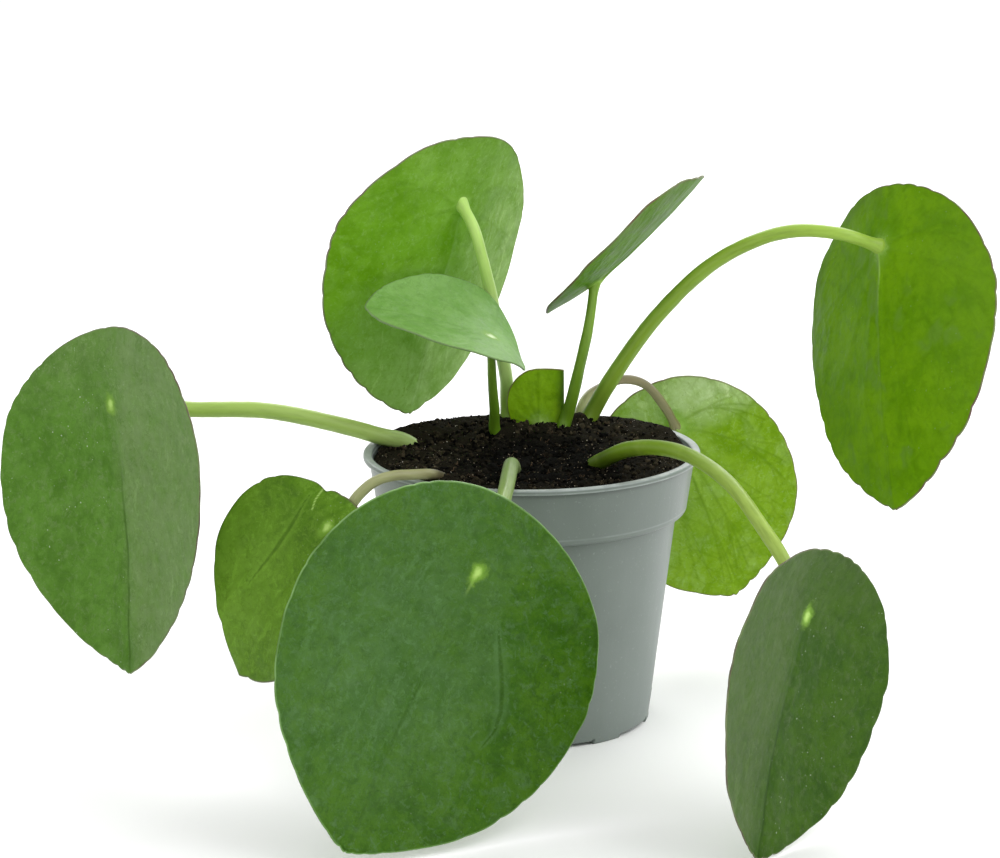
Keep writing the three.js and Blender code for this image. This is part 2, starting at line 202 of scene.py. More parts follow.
LEAVES = [
    row(
        name="left", at=(-130, -5, 103), facing=-42, lift=3, turn=14.6,
        tip=82.7, back=23.5, left=46.4, right=46.3, middle=18.2, point=0.7, left_point=0.54,
        scallops=(42, 0.55),
        cup=9.4, tip_curl=10.2, back_curl=-2.1, cells=128,
        bud=73, width=(5.6, 4.8), buried=[(-29, 16.5, 78)],
        route=[(-40.2, 15, 85.4), (-47, 10.5, 88.3), (-57.5, 9, 91.8), (-82.5, 7, 97.7),
               (-106.5, 6, 98.6), (-121, 2, 100.5)],
        stem=((176, 204, 116), (178, 206, 110), (164, 196, 84)),
        upper=((77, 120, 31), (93, 137, 47)), rim=((112, 128, 84), (92, 80, 64)),
        bloom=(116, 142, 86), haze=[(-40, 32, 40, 110, 0.1, 0.8), (0, -22, 40, 14, 0.9, 0.5)],
        mottle=0.75, midrib=0.75, specks=0.8,
    ),
    row(
        name="low_left", at=(-61.5, -55, 76), facing=-36, lift=23, turn=-29.3,
        tip=54.2, back=9.6, left=30.8, right=30.4, middle=11.6, point=0.52, left_point=0.41,
        sway=-1, scallops=(15, 0.6), notch=(10.6, -7.4, 2.2),
        cup=4, tip_curl=-8.9, back_curl=-4.5,
        crease=((11.9, -4), (10.9, 3), (10.4, 9), (10.5, 15), (11.2, 23), (12.2, 32)), cells=96,
        bud=68, width=(3.1, 3.2), buried=[(-21, -15, 78)],
        route=[(-28, -25.5, 84), (-31.8, -38.6, 88.1), (-36.5, -43, 89), (-42, -45, 89.2),
               (-47.3, -47, 88), (-51.8, -48, 84.5), (-55.5, -49, 80)],
        stem=((92, 84, 58), (148, 142, 104), (166, 172, 120)),
        upper=((73, 113, 12), (91, 132, 23)), under=((90, 134, 22), (118, 160, 48)),
        rim=((86, 104, 52), (92, 92, 56)),
        bloom=(116, 156, 50), haze=[(26, 40, 28, 28, 0.6, 1.0)],
        midrib=0.1, specks=0.2, scar=((10.4, -7), (9.3, -3.6), (7.7, -0.6)),
    ),
    row(
        name="front", at=(-16.5, -105, 75.5), facing=21, lift=5, turn=-34,
        tip=85.9, back=22.3, left=49.1, right=48.1, middle=23.4, point=0.52, left_point=0.57,
        scallops=(40, 0.5),
        cup=3.5, tip_curl=15.5, back_curl=-4.5,
        crease=((-12.5, 9), (-15.5, 13.5), (-19.3, 19), (-23, 25), (-25.8, 31), (-26.8, 37),
                (-25, 43)),
        cells=136,
        bud=76, width=(5, 4.4), buried=[(-5.4, -10, 77)],
        route=[(-5.8, -17, 82.6), (-6.3, -26, 87.4), (-6.8, -38, 89.4), (-7.5, -50, 89.2),
               (-9, -70, 88), (-12.5, -90, 83.5), (-14.7, -99, 79.5)],
        stem=((130, 148, 92), (124, 148, 86), (140, 168, 84)),
        upper=((50, 92, 2), (68, 108, 12)), rim=((118, 156, 90), (84, 118, 52)),
        bloom=(80, 114, 66), haze=[(14, 28, 34, 40, 0.5, 0.6), (-8, 25, 16, 30, 0.3, 0.5)],
        haze_ends_at_crease=True,
        mottle=1.15, midrib=0.25, specks=0.15, tail=0.3,
    ),
    row(
        name="low_right", at=(76, -114, 64.5), facing=48.5, lift=-1.5, turn=-24.9,
        tip=69, back=19.5, left=39.3, right=36.8, middle=12.9, point=0.54, left_point=0.41,
        scallops=(36, 0.55),
        cup=6.1, tip_curl=7, back_curl=3.8, cells=112,
        bud=70, width=(5.4, 3.6),
        route=[(18.5, -12, 83.4), (29.5, -29, 93), (43.5, -52, 97.4), (56, -77, 94.4),
               (65.2, -99, 85.4), (70.2, -107.5, 78.5)],
        stem=((78, 102, 20), (120, 152, 36), (168, 194, 88)),
        upper=((45, 80, 2), (59, 93, 8)), rim=((104, 120, 78), (84, 78, 60)),
        bloom=(78, 100, 52), haze=[(42, 34, 39, 110, 0.1, 0.75), (0, -18, 34, 12, 0.9, 0.4)],
        midrib=0.75, specks=0.4,
    ),
    row(
        name="right", at=(109, 10, 147.5), facing=120, lift=-16.5, turn=-19.1,
        tip=81.4, back=19.4, left=43.3, right=44.2, middle=22.4, point=0.64, left_point=0.6,
        sway=0.4, scallops=(38, 0.7),
        cup=7.7, tip_curl=10.2, back_curl=-0.2, cells=128,
        bud=74.5, width=(5.6, 3.8), buried=[(12.2, 28, 78)],
        route=[(18.6, 36, 87.5), (25.6, 33.7, 100.5), (40.5, 29, 122.6), (59, 22, 141.5),
               (79, 12, 152), (95, 6.5, 152.5)],
        stem=((116, 146, 42), (140, 174, 56), (160, 194, 74)),
        under=((102, 150, 0), (122, 168, 10)), rim=((112, 130, 76), (98, 74, 66)),
        bloom=(98, 135, 38), upper_bloom=(104, 136, 80),
        haze=[(-14, -17, 12, 6, 0.6, 0.5), (40, 14, 16, 50, 0.8, 0.4)],
        edge_haze=(-1, -30, 44, 6.5, 0.9),
        mottle=0.7, midrib=0.6, specks=0.2, rays=0.06, ovals=1.0, glow=0.3,
    ),
    row(
        name="back_left", at=(-21.5, 30, 159), facing=-136, lift=17, turn=5.6,
        tip=71.8, back=22.9, left=43.1, right=39.5, middle=21.3, point=0.5, left_point=0.39,
        sway=-0.3, scallops=(34, 0.5),
        cup=8.7, tip_curl=-3.6, back_curl=-1.1, cells=120,
        bud=75, width=(5, 3.4), buried=[(-5.5, 36, 80)],
        route=[(-7.2, 41, 87.6), (-7.6, 39, 100), (-10, 34, 115), (-12.3, 29, 130),
               (-15, 25, 142.7), (-17.5, 24.5, 152)],
        stem=((158, 194, 78), (196, 226, 140), (182, 220, 110)),
        under=((118, 166, 28), (138, 184, 56)), rim=((124, 134, 100), (112, 100, 84)),
        bloom=(206, 230, 164), upper_bloom=(104, 136, 80),
        haze=[(38, 30, 26, 60, 0.6, 0.7), (6, 60, 32, 28, 0.6, 1.0), (10, -16, 30, 14, 0.8, 0.25)],
        mottle=0.6, midrib=0.2, specks=0.3, rays=0.45, ovals=0.06, glow=0.55,
    ),
    row(
        name="back_right", at=(48.5, 72, 76.5), facing=182, lift=1.5, turn=-19.5,
        tip=61.6, back=16.2, left=35.5, right=33, middle=20.9, point=0.66, left_point=0.49,
        sway=-0.5, scallops=(32, 0.5),
        cup=2.5, tip_curl=-3, back_curl=0.5, cells=104,
        bud=68, width=(3.8, 2.6), buried=[(14, 37, 80)],
        route=[(15.7, 41, 87), (18.5, 46.5, 92.2), (24.5, 52, 94.9), (30.5, 56.5, 96), (38, 62, 93),
               (45, 67, 83.8)],
        stem=((176, 180, 126), (126, 114, 84), (124, 124, 78)),
        upper=((78, 118, 34), (104, 140, 58)), under=((131, 170, 18), (154, 188, 52)),
        rim=((128, 140, 96), (112, 98, 76)),
        bloom=(208, 226, 172), upper_bloom=(104, 136, 80),
        haze=[(12, -9, 22, 9, 0.7, 1.0), (-18, 12, 18, 22, 0.8, 0.3)],
        mottle=0.6, midrib=0.3, specks=0.3, ovals=0.1, veins=(0.15, 0.4), glow=0.45,
    ),
    row(
        name="up_right", at=(20.5, 26, 134), facing=-112.6, lift=48, turn=-161.8,
        tip=47.7, back=17.8, left=29.3, right=28.2, middle=26.4, point=0, sway=0.3,
        scallops=(28, 0.35),
        cup=3.7, left_cup=7, tip_curl=3.8, back_curl=2.2, cells=96,
        bud=81.5, width=(4.4, 2.8),
        route=[(10.7, 27, 88.2), (12.7, 26.4, 94.5), (15.7, 24.6, 107.5), (18.6, 24, 121)],
        stem=((96, 134, 22), (106, 146, 32), (134, 172, 58)),
        under=((78, 130, 4), (98, 150, 22)), rim=((104, 128, 74), (104, 92, 66)),
        bloom=(104, 126, 72), haze=[(18, 34, 16, 20, 0.6, 0.5)],
        midrib=0.1, specks=0.1,
    ),
    row(
        name="small", at=(-12.4, 5, 121.1), facing=65, lift=60, turn=-143,
        tip=40.5, back=13.5, left=23, right=24.5, middle=8.5, point=0.2, left_point=0.2,
        scallops=(26, 0.25),
        cup=4, tip_curl=-6, back_curl=-4.5, cells=88,
        bud=80, width=(3.9, 2.4), route=[(-11, 19.6, 86.7), (-11.5, 15, 96), (-12.1, 10, 106.2)],
        stem=((94, 132, 26), (102, 142, 34), (128, 166, 58)),
        upper=((116, 164, 76), (134, 178, 96)), under=((88, 136, 20), (112, 158, 50)),
        rim=((112, 142, 82), (104, 130, 80)),
        bloom=(146, 180, 128), haze=[(0, -6, 30, 22, 0.8, 0.12)],
        # Its joint spot is nearly white: a painted highlight.
        mottle=0.35, midrib=0.15, specks=0.15, joint_tone=(226, 244, 196),
    ),
    row(
        name="young", at=(3, 28.5, 87), facing=180, lift=0, turn=180,
        tip=18.5, back=4, left=24, right=10.4, middle=7.5, point=0, scallops=(20, 0.08),
        cup=2, tip_curl=1, back_curl=0, fold=(6.6, 112), cells=72,
        bud=82, width=(3, 2.6), buried=[(3, 25.5, 84.5)],
        stem=((150, 170, 90), (140, 170, 80), (130, 166, 60)),
        upper=((80, 120, 30), (104, 144, 50)), under=((130, 178, 10), (148, 194, 30)),
        rim=((120, 130, 60), (110, 90, 50)),
        # On the under face the painted light is dark: painted shade on the strip that folds back.
        bloom=(66, 94, 36), upper_bloom=(104, 136, 80), haze=[(-9.5, 10, 3.6, 16, 0.3, 0.8)],
        midrib=0.0, specks=0.1, rays=0.04, veins=(0.1, 0.06), glow=0.3,
    ),
]


# ---------------------------------------------------------------------------- materials

def colour(tone):
    """A tone given as on a screen, 0 to 255, as the linear colour that a node takes."""
    linear = [(c / 255) / 12.92 if c <= 10 else ((c / 255 + 0.055) / 1.055) ** 2.4 for c in tone]
    return (*linear, 1)


class Finish:
    """One procedural material, built up coat by coat on its Principled shader."""

    def __init__(self, name, tint, roughness, shine):
        self.material = bpy.data.materials.new(name)
        self.material.use_nodes = True
        self.tree = self.material.node_tree
        self.shader = self.tree.nodes["Principled BSDF"]
        self.output = self.tree.nodes["Material Output"]
        self.tint = tint
        self.relief = None
        self.set(self.shader, "Roughness", roughness)
        self.set(self.shader, "Specular IOR Level", shine)

    def set(self, node, key, value):
        if isinstance(value, bpy.types.NodeSocket):
            self.tree.links.new(value, node.inputs[key])
        else:
            node.inputs[key].default_value = value

    def node(self, kind, inputs, **settings):
        made = self.tree.nodes.new("ShaderNode" + kind)
        for key, value in settings.items():
            setattr(made, key, value)
        for key, value in inputs.items():
            self.set(made, key, value)
        return made

    def attribute(self, name, output="Fac"):
        return self.node("Attribute", {}, attribute_name=name).outputs[output]

    def object_place(self):
        return self.node("TexCoord", {}).outputs["Object"]

    def stretched(self, place, scale):
        return self.node("Mapping", {"Vector": place, "Scale": scale}).outputs["Vector"]

    def noise(self, place, scale, detail=3, rough=0.5, bend=0, output=0):
        inputs = {
            "Vector": place, "Scale": scale, "Detail": detail, "Roughness": rough,
            "Distortion": bend,
        }
        return self.node("TexNoise", inputs).outputs[output]

    def cells(self, place, scale, feature="F1", output="Distance"):
        inputs = {"Vector": place, "Scale": scale}
        return self.node("TexVoronoi", inputs, feature=feature).outputs[output]

    def ramp(self, value, low, high, first=0.0, last=1.0):
        inputs = {
            "Value": value, "From Min": low, "From Max": high, "To Min": first, "To Max": last,
        }
        return self.node("MapRange", inputs, interpolation_type="SMOOTHSTEP").outputs[0]

    def times(self, *parts):
        """All the parts multiplied together."""
        product = parts[0]
        for part in parts[1:]:
            product = self.node("Math", {0: product, 1: part}, operation="MULTIPLY").outputs[0]
        return product

    def shifted(self, place, by, amount):
        """A place moved by a second pattern, so that lines drawn on it waver."""
        moved = self.node("VectorMath", {0: by, "Scale": amount}, operation="SCALE").outputs[0]
        return self.node("VectorMath", {0: place, 1: moved}, operation="ADD").outputs[0]

    def mix(self, share, first, second):
        mixed = self.node("Mix", {"Factor": share}, data_type="RGBA")
        self.set(mixed, 6, first)
        self.set(mixed, 7, second)
        return mixed.outputs[2]

    def coat(self, tone, *strengths):
        """Lays a tone over what is there, as strongly as all the strengths multiplied."""
        self.tint = self.mix(self.times(*strengths), self.tint, tone)

    def bump(self, height, distance, strength):
        inputs = {"Height": height, "Distance": distance, "Strength": strength}
        if self.relief is not None:
            inputs["Normal"] = self.relief
        self.relief = self.node("Bump", inputs).outputs["Normal"]

    def let_light_through(self, tint, share):
        """Some of the light that falls on the far side of a thin leaf shows on this one."""
        glow = self.node("BsdfTranslucent", {"Color": tint})
        both = self.node("MixShader", {0: share, 1: self.shader.outputs[0], 2: glow.outputs[0]})
        self.tree.links.new(both.outputs[0], self.output.inputs["Surface"])

    def done(self):
        self.set(self.shader, "Base Color", self.tint)
        if self.relief is not None:
            self.set(self.shader, "Normal", self.relief)
        return self.material


JOINT_TONE = colour((178, 214, 112))
JOINT_GLOW = colour((128, 172, 58))
SPECK_TONE = colour((196, 210, 178))
LIT_TONE = colour((150, 205, 24))
# How strongly the painted highlights on the bulges show on every upper face.
UPPER_PAINTED_GLINTS = 0.1


def shaded(tone, share):
    """A linear tone made darker, or paler where share is above 1."""
    return (*(min(1.0, part * share) for part in tone[:3]), 1)


def between(first, second, share):
    """The tone that lies share of the way from the first to the second."""
    return (*(a + (b - a) * share for a, b in zip(first[:3], second[:3])), 1)


def blade_finish(leaf, face):
    """The upper or the under face of one leaf.

    The attribute blade_place holds the flat blade's own coordinates, in decimetres from the leaf
    stem's joint. The others hold distances in millimetres from the joint, the midrib, the veins,
    the crease, the scar and the leaf's edge, and the strength of the painted light.
    """
    upper = face == "upper"
    dark, light = (colour(tone) for tone in getattr(leaf, face))
    painted_light_tone = colour(leaf.upper_bloom if upper and leaf.upper_bloom else leaf.bloom)
    finish = Finish(f"leaf_{leaf.name}_{face}", dark, 0.4, 0.14 if upper else 0.08)
    coat, ramp, cloud, cells = finish.coat, finish.ramp, finish.noise, finish.cells
    place = finish.attribute("blade_place", "Vector")
    joint, midrib, vein, edge, bloom = (
        finish.attribute(name) for name in ("joint", "midrib", "vein", "edge", "haze"))
    waver = cloud(place, 20, output=1)
    bent = finish.shifted(place, waver, 0.05)
    deep = shaded(dark, 0.6)
    pale = painted_light_tone if upper else between(light, painted_light_tone, 0.35)

    # Blotches, from broad ones down to the grain.
    coat(light, ramp(cloud(place, 6, 5, 0.62, 0.3), 0.36, 0.64))
    patches = cloud(place, 15, 4, 0.7, 0.8)
    coat(pale, ramp(patches, 0.54, 0.64, 0, 0.4 * leaf.mottle))
    coat(shaded(dark, 0.8), ramp(patches, 0.46, 0.36, 0, 0.5 * leaf.mottle))
    mottle = cloud(place, 26, 5, 0.72, 0.4)
    coat(light, ramp(mottle, 0.48, 0.64, 0, 0.7))
    coat(shaded(dark, 0.76), ramp(mottle, 0.5, 0.34, 0, 0.65 * leaf.mottle))
    # Painted sheen: small pale blotches spread over the whole face.
    sheen_blotches = cloud(place, 40, 4, 0.75, 0.6)
    coat(pale, ramp(sheen_blotches, 0.53, 0.64, 0, (0.55 if upper else 0.3) * leaf.mottle))
    grain = cloud(place, 150, 3, 0.6)
    coat(shaded(dark, 0.75), ramp(grain, 0.52, 0.7, 0, (0.4 if upper else 0.25) * leaf.mottle))

    # Painted light lies on part of the leaf: mostly a pale painted sheen and reflection, and on
    # some leaves painted light on parts in shade, on young's under face painted shade. It is
    # patchy, smudged and streaky.
    coat(painted_light_tone, bloom, ramp(cloud(place, 16, 5, 0.7), 0.3, 0.66, 0.45, 1))
    sheen_spots = cloud(place, 55, 4, 0.7, 0.9)
    coat(shaded(painted_light_tone, 1.35), ramp(sheen_spots, 0.54, 0.66),
         ramp(bloom, 0.0, 0.6, 0.1, 0.42 if upper else 0.24))
    streaks = cloud(finish.stretched(bent, (1, 0.1, 1)), 42, 4, 0.7)
    coat(shaded(painted_light_tone, 1.4), ramp(streaks, 0.54, 0.68, 0, 0.6), bloom)

    # Painted highlights: soft pale rings and spots where the leaf bulges between its veins.
    bulge = cells(finish.stretched(bent, (1, 0.62, 1)), 11)
    coat(shaded(painted_light_tone, 1.25), ramp(bulge, 0.14, 0.3, 0.35, 1), ramp(bulge, 0.44, 0.3),
         ramp(cloud(place, 8, 2), 0.46, 0.56), UPPER_PAINTED_GLINTS if upper else leaf.ovals)

    # Veins, with a net of fine ones between them.
    shown = leaf.veins[0 if upper else 1]
    net = cells(bent, 13, "DISTANCE_TO_EDGE")
    coat(deep, ramp(net, 0.0, 0.09, 1, 0), ramp(joint, 6, 22), 0.7 * shown)
    vein_line = ramp(vein, 0.1, 1.6 if upper else 1.1, 1, 0)
    coat(deep, vein_line, shown)
    hair = cells(finish.shifted(place, waver, 0.09), 36, "DISTANCE_TO_EDGE")
    coat(deep, ramp(hair, 0.0, 0.07, 1, 0),
         ramp(cloud(place, 24), 0.44, 0.6, 0.0, 0.34 if upper else 0.16))
    rib = finish.times(ramp(midrib, 0.1, 0.75 if upper else 0.55, 1, 0),
                       ramp(cloud(place, 25, 2), 0.3, 0.55, 0.3, 1))
    if upper:
        coat(JOINT_TONE, rib, ramp(joint, 3, 9, leaf.tail, 0))
        coat(deep, rib, ramp(joint, 16, 38, 0.06, 1), leaf.midrib)
    else:
        coat(JOINT_TONE, rib, ramp(joint, 5, 28, 1, 0), leaf.midrib)
        coat(JOINT_TONE, vein_line, ramp(joint, 3, 12, 1, 0), leaf.rays)
    if leaf.crease:
        crease = finish.attribute("crease")
        # Painted highlight in a band beside the crease, and painted shade along it.
        coat(shaded(painted_light_tone, 1.15), ramp(crease, 0.2, 0.9), ramp(crease, 3, 1), 0.3)
        coat(deep, ramp(crease, 0.2, 0.95, 0.5, 0))
    if leaf.scar and upper:
        coat(JOINT_TONE, ramp(finish.attribute("scar"), 0.1, 0.48, 0.75, 0))

    # A bright patch marks the joint.
    near = finish.times(finish.attribute("spot") if upper else joint,
                        ramp(mottle, 0.3, 0.7, 0.7, 1.3))
    coat(JOINT_GLOW, ramp(near, 1.2, 3.8 if upper else 7, 0.8, 0))
    coat(colour(leaf.joint_tone), ramp(near, 0.4, 1.9 if upper else 4.5, 1, 0))

    # Mineral specks, each in its own cell, and only in some cells, and dark pits.
    chosen = finish.node("SeparateColor", {"Color": cells(place, 95, output="Color")})
    ragged = finish.node("Math", {0: cells(place, 95), 1: ramp(grain, 0.35, 0.65, 0.16, -0.1)})
    coat(SPECK_TONE, ramp(ragged.outputs[0], 0.12, 0.3, 1, 0),
         ramp(chosen.outputs[0], 0.84, 0.91), ramp(cloud(place, 11, 2), 0.5, 0.6),
         ramp(bloom, 0.1, 0.5, 1, 0.25), leaf.specks)
    pits = cells(finish.shifted(place, waver, 0.1), 42)
    coat(deep, ramp(pits, 0.05, 0.16, 0.35, 0))
    coat(colour(leaf.rim[0 if upper else 1]), ramp(edge, 0.05, 0.4, 0.6, 0))

    finish.set(finish.shader, "Roughness", ramp(mottle, 0.3, 0.7, 0.34, 0.5))
    finish.bump(cloud(place, 17, 2), 0.0016, 0.45)
    finish.bump(mottle, 0.00035, 0.45)
    finish.bump(grain, 0.00008, 0.5)
    finish.let_light_through(finish.mix(0.45, finish.tint, LIT_TONE), leaf.glow)
    return finish.done()


def leaf_rim_finish(leaf):
    first, second = (colour(tone) for tone in leaf.rim)
    finish = Finish(f"leaf_{leaf.name}_rim", first, 0.45, 0.3)
    place = finish.attribute("blade_place", "Vector")
    finish.coat(second, finish.ramp(finish.noise(place, 12), 0.35, 0.65))
    return finish.done()


def leaf_stem_finish(leaf):
    """The attribute stem_place holds places round and along the stem, in millimetres."""
    foot, middle, top = (colour(tone) for tone in leaf.stem)
    finish = Finish(f"leaf_stem_{leaf.name}", middle, 0.36, 0.4)
    place = finish.attribute("stem_place", "Vector")
    finish.coat(top, finish.ramp(finish.attribute("along"), 0.35, 1.0))
    finish.coat(foot, finish.ramp(finish.attribute("from_soil"), 3, 15, 1, 0))
    streaks = finish.noise(finish.stretched(place, (1, 1, 0.14)), 0.75, 3, 0.6)
    finish.coat(shaded(middle, 0.62), finish.ramp(streaks, 0.4, 0.75, 0, 0.4))
    blush = finish.noise(finish.stretched(place, (0.5, 0.5, 1)), 0.07, 3, 0.6)
    finish.coat(top, finish.ramp(blush, 0.5, 0.75, 0, 0.35))
    finish.bump(streaks, 0.0001, 0.5)
    finish.let_light_through(finish.tint, 0.12)
    return finish.done()


# Heights of the pot's edges that carry painted highlights, in metres, and how pale each is: the
# top of the lip, its lower corner, the collar's lower corner.
POT_EDGE_HIGHLIGHTS = ((0.0857, 0.0865, 0.5), (0.0844, 0.0848, 0.5), (0.0691, 0.0693, 0.2))
POT_HIGHLIGHT_FADE = 0.0003
# Heights between which painted shade lies in the corner under the lip, with soft ends.
POT_SHADE_UNDER_LIP = (0.0825, 0.0841, 0.08425, 0.0844)


def pot_finish():
    """Satin moulded plastic: slightly uneven grey-green with a fine grain and faint flow marks."""
    finish = Finish("pot_plastic", colour((109, 118, 113)), 0.42, 0.4)
    coat, ramp = finish.coat, finish.ramp
    place = finish.object_place()
    height = finish.node("SeparateXYZ", {0: place}).outputs["Z"]
    cloud = finish.noise(place, 22, 3, 0.55)
    coat(colour((119, 128, 123)), ramp(cloud, 0.3, 0.7))
    flow = finish.noise(finish.stretched(place, (1, 1, 0.06)), 160, 3, 0.6)
    coat(colour((106, 118, 110)), ramp(flow, 0.35, 0.75, 0, 0.22))
    # Painted shade: darker towards the bottom.
    coat(colour((88, 96, 91)), ramp(height, 0.0, 0.06, 0.25, 0))
    dust = finish.noise(place, 900, 2, 0.7)
    coat(colour((172, 180, 174)), ramp(dust, 0.62, 0.8, 0, 0.3))
    # Painted highlights along the lip and the collar's lower corner, patchy with the flow marks.
    highlight_breakup = ramp(flow, 0.3, 0.7, 0.35, 0.8)
    for low, high, strength in POT_EDGE_HIGHLIGHTS:
        coat(colour((196, 204, 202)), ramp(height, low - POT_HIGHLIGHT_FADE, low),
             ramp(height, high, high + POT_HIGHLIGHT_FADE, 1, 0), highlight_breakup, strength)
    # Painted shade in the corner under the lip.
    low, dark_low, dark_high, high = POT_SHADE_UNDER_LIP
    coat(colour((70, 78, 74)), ramp(height, low, dark_low),
         ramp(height, dark_high, high, 1, 0), 0.5)
    finish.set(finish.shader, "Roughness", ramp(cloud, 0.3, 0.7, 0.34, 0.46))
    finish.bump(flow, 0.00012, 0.5)
    finish.bump(finish.noise(place, 2600, 2), 0.00004, 0.6)
    return finish.done()


def soil_finish():
    """Nearly black in the middle, where shade is painted, and paler towards the rim."""
    finish = Finish("soil", colour((4, 4, 3)), 0.95, 0.05)
    place = finish.object_place()
    finish.coat(colour((14, 13, 10)), finish.ramp(finish.noise(place, 260, 5, 0.65), 0.35, 0.7))
    finish.coat(colour((47, 43, 31)), finish.attribute("soil_pale"), 0.5)
    fine = finish.noise(place, 1500, 3, 0.7)
    finish.coat(colour((50, 46, 35)), finish.ramp(fine, 0.55, 0.8, 0, 0.6))
    finish.bump(fine, 0.0006, 0.9)
    return finish.done()


def crumb_finish(name, dark, light, scale):
    """Crumbs, fibres or specks: the attribute tone sets each one between dark and light."""
    finish = Finish(name, colour(dark), 0.95, 0.06)
    finish.coat(colour(light), finish.attribute("tone"))
    pores = finish.noise(finish.object_place(), scale, 3, 0.7)
    finish.coat(colour(dark), finish.ramp(pores, 0.45, 0.7, 0, 0.6))
    finish.bump(pores, 0.0003, 0.8)
    return finish.done()


def bark_finish():
    finish = Finish("main_stem_bark", colour((78, 62, 42)), 0.8, 0.3)
    rings = finish.noise(finish.stretched(finish.object_place(), (0.4, 0.4, 3)), 300, 4, 0.6)
    finish.coat(colour((132, 112, 76)), finish.ramp(rings, 0.35, 0.7))
    finish.bump(rings, 0.0006, 0.8)
    return finish.done()


def floor_finish():
    finish = Finish("floor", (0.96, 0.96, 0.96, 1), 0.6, 0.2)
    cloud = finish.noise(finish.object_place(), 2, 2)
    finish.coat((0.98, 0.98, 0.98, 1), finish.ramp(cloud, 0.3, 0.7))
    return finish.done()


# ---------------------------------------------------------------------------- pieces

def show(name, data):
    """Puts an object in the scene."""
    shown = bpy.data.objects.new(name, data)
    bpy.context.scene.collection.objects.link(shown)
    return shown


def add_piece(name, mesh, finishes, replaced=()):
    """Shows a mesh that is finished and in metres as a piece of the plant."""
    for finish in finishes:
        mesh.materials.append(finish)
    mesh.shade_smooth()
    piece = show(name, mesh)
    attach(piece, "root")
    if replaced:
        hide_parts(*replaced)


def new_mesh(name, bm):
    """A mesh of what bm holds. It lets bm go."""
    mesh = bpy.data.meshes.new(name)
    bm.to_mesh(mesh)
    bm.free()
    return mesh


def finished_mesh(name, bm):
    """A mesh with its faces turned outwards, brought from millimetres to metres."""
    bmesh.ops.recalc_face_normals(bm, faces=bm.faces)
    bmesh.ops.scale(bm, vec=(MM, MM, MM), verts=bm.verts)
    return new_mesh(name, bm)


def store(mesh, name, values):
    """Keeps one number, or one vector, for each vertex of a mesh."""
    values = np.asarray(values, np.float32)
    kind, field = ("FLOAT", "value") if values.ndim == 1 else ("FLOAT_VECTOR", "vector")
    mesh.attributes.new(name, kind, "POINT").data.foreach_set(field, values.ravel())


def only(kind, parts):
    """The vertices, or the edges, among the parts that an operator made."""
    return [part for part in parts if isinstance(part, kind)]


def hill(away, width):
    """1 where away is 0, and falling smoothly to nothing a few widths away."""
    return np.exp(-(away / width) ** 2)


def rise(value, start, end):
    """0 up to start, 1 from end on, and a straight slope between them."""
    return np.clip((value - start) / (end - start), 0, 1)


def soil_height(x, y):
    """Height of the soil: level, with heaps, and banked up against the back of the rim."""
    height = SOIL_LEVEL + SOIL_RISE_TO_BACK * (y / NECK_RADIUS)
    for heap_x, heap_y, heap_height, spread in SOIL_HEAPS:
        away = (x - heap_x) ** 2 + (y - heap_y) ** 2
        height += heap_height * math.exp(-away / (2 * spread ** 2))
    out = math.hypot(x, y)
    banked = rise(out, *BANK_FROM_RADIUS) * rise(y, *BANK_FROM_Y)
    bank = BANK_TOP + BANK_SIDE_RISE * abs(x / max(out, 1)) ** 1.5
    return float(height + (bank - height) * banked)


def square_to_disc(x, y):
    """Maps the square from -1 to 1 onto the disc of radius 1."""
    return x * np.sqrt(1 - y * y / 2), y * np.sqrt(1 - x * x / 2)


# Leaf blades

def blade_axes(leaf):
    """Across the blade, towards its tip, and out of its upper face."""
    facing, lift, turn = (math.radians(a) for a in (leaf.facing, leaf.lift, leaf.turn))
    level = math.cos(lift)
    up = Vector((math.sin(facing) * level, -math.cos(facing) * level, math.sin(lift)))
    downhill = (Vector((0, 0, -1)) + up * up.z).normalized()
    along = downhill * math.cos(turn) + up.cross(downhill) * math.sin(turn)
    return along.cross(up), along, up


def blade_plane(leaf, out, angle):
    """Flat place on the blade, from the joint (out 0) to the edge (out 1); angle 0 is the tip."""
    to_tip, to_side = np.cos(angle), np.sin(angle)
    side = np.where(to_side > 0, leaf.right, leaf.left)
    end = np.where(to_tip > 0, leaf.tip - leaf.middle, leaf.back + leaf.middle)
    point = np.where(to_side > 0, leaf.point, leaf.left_point)
    taper = np.abs(to_side) ** (point * np.maximum(0, to_tip))
    along = out * (leaf.middle + end * to_tip)
    share = (along + leaf.back) / (leaf.tip + leaf.back)
    sway = leaf.sway * np.sin(2 * math.pi * share)
    return out * side * to_side * taper + sway, along


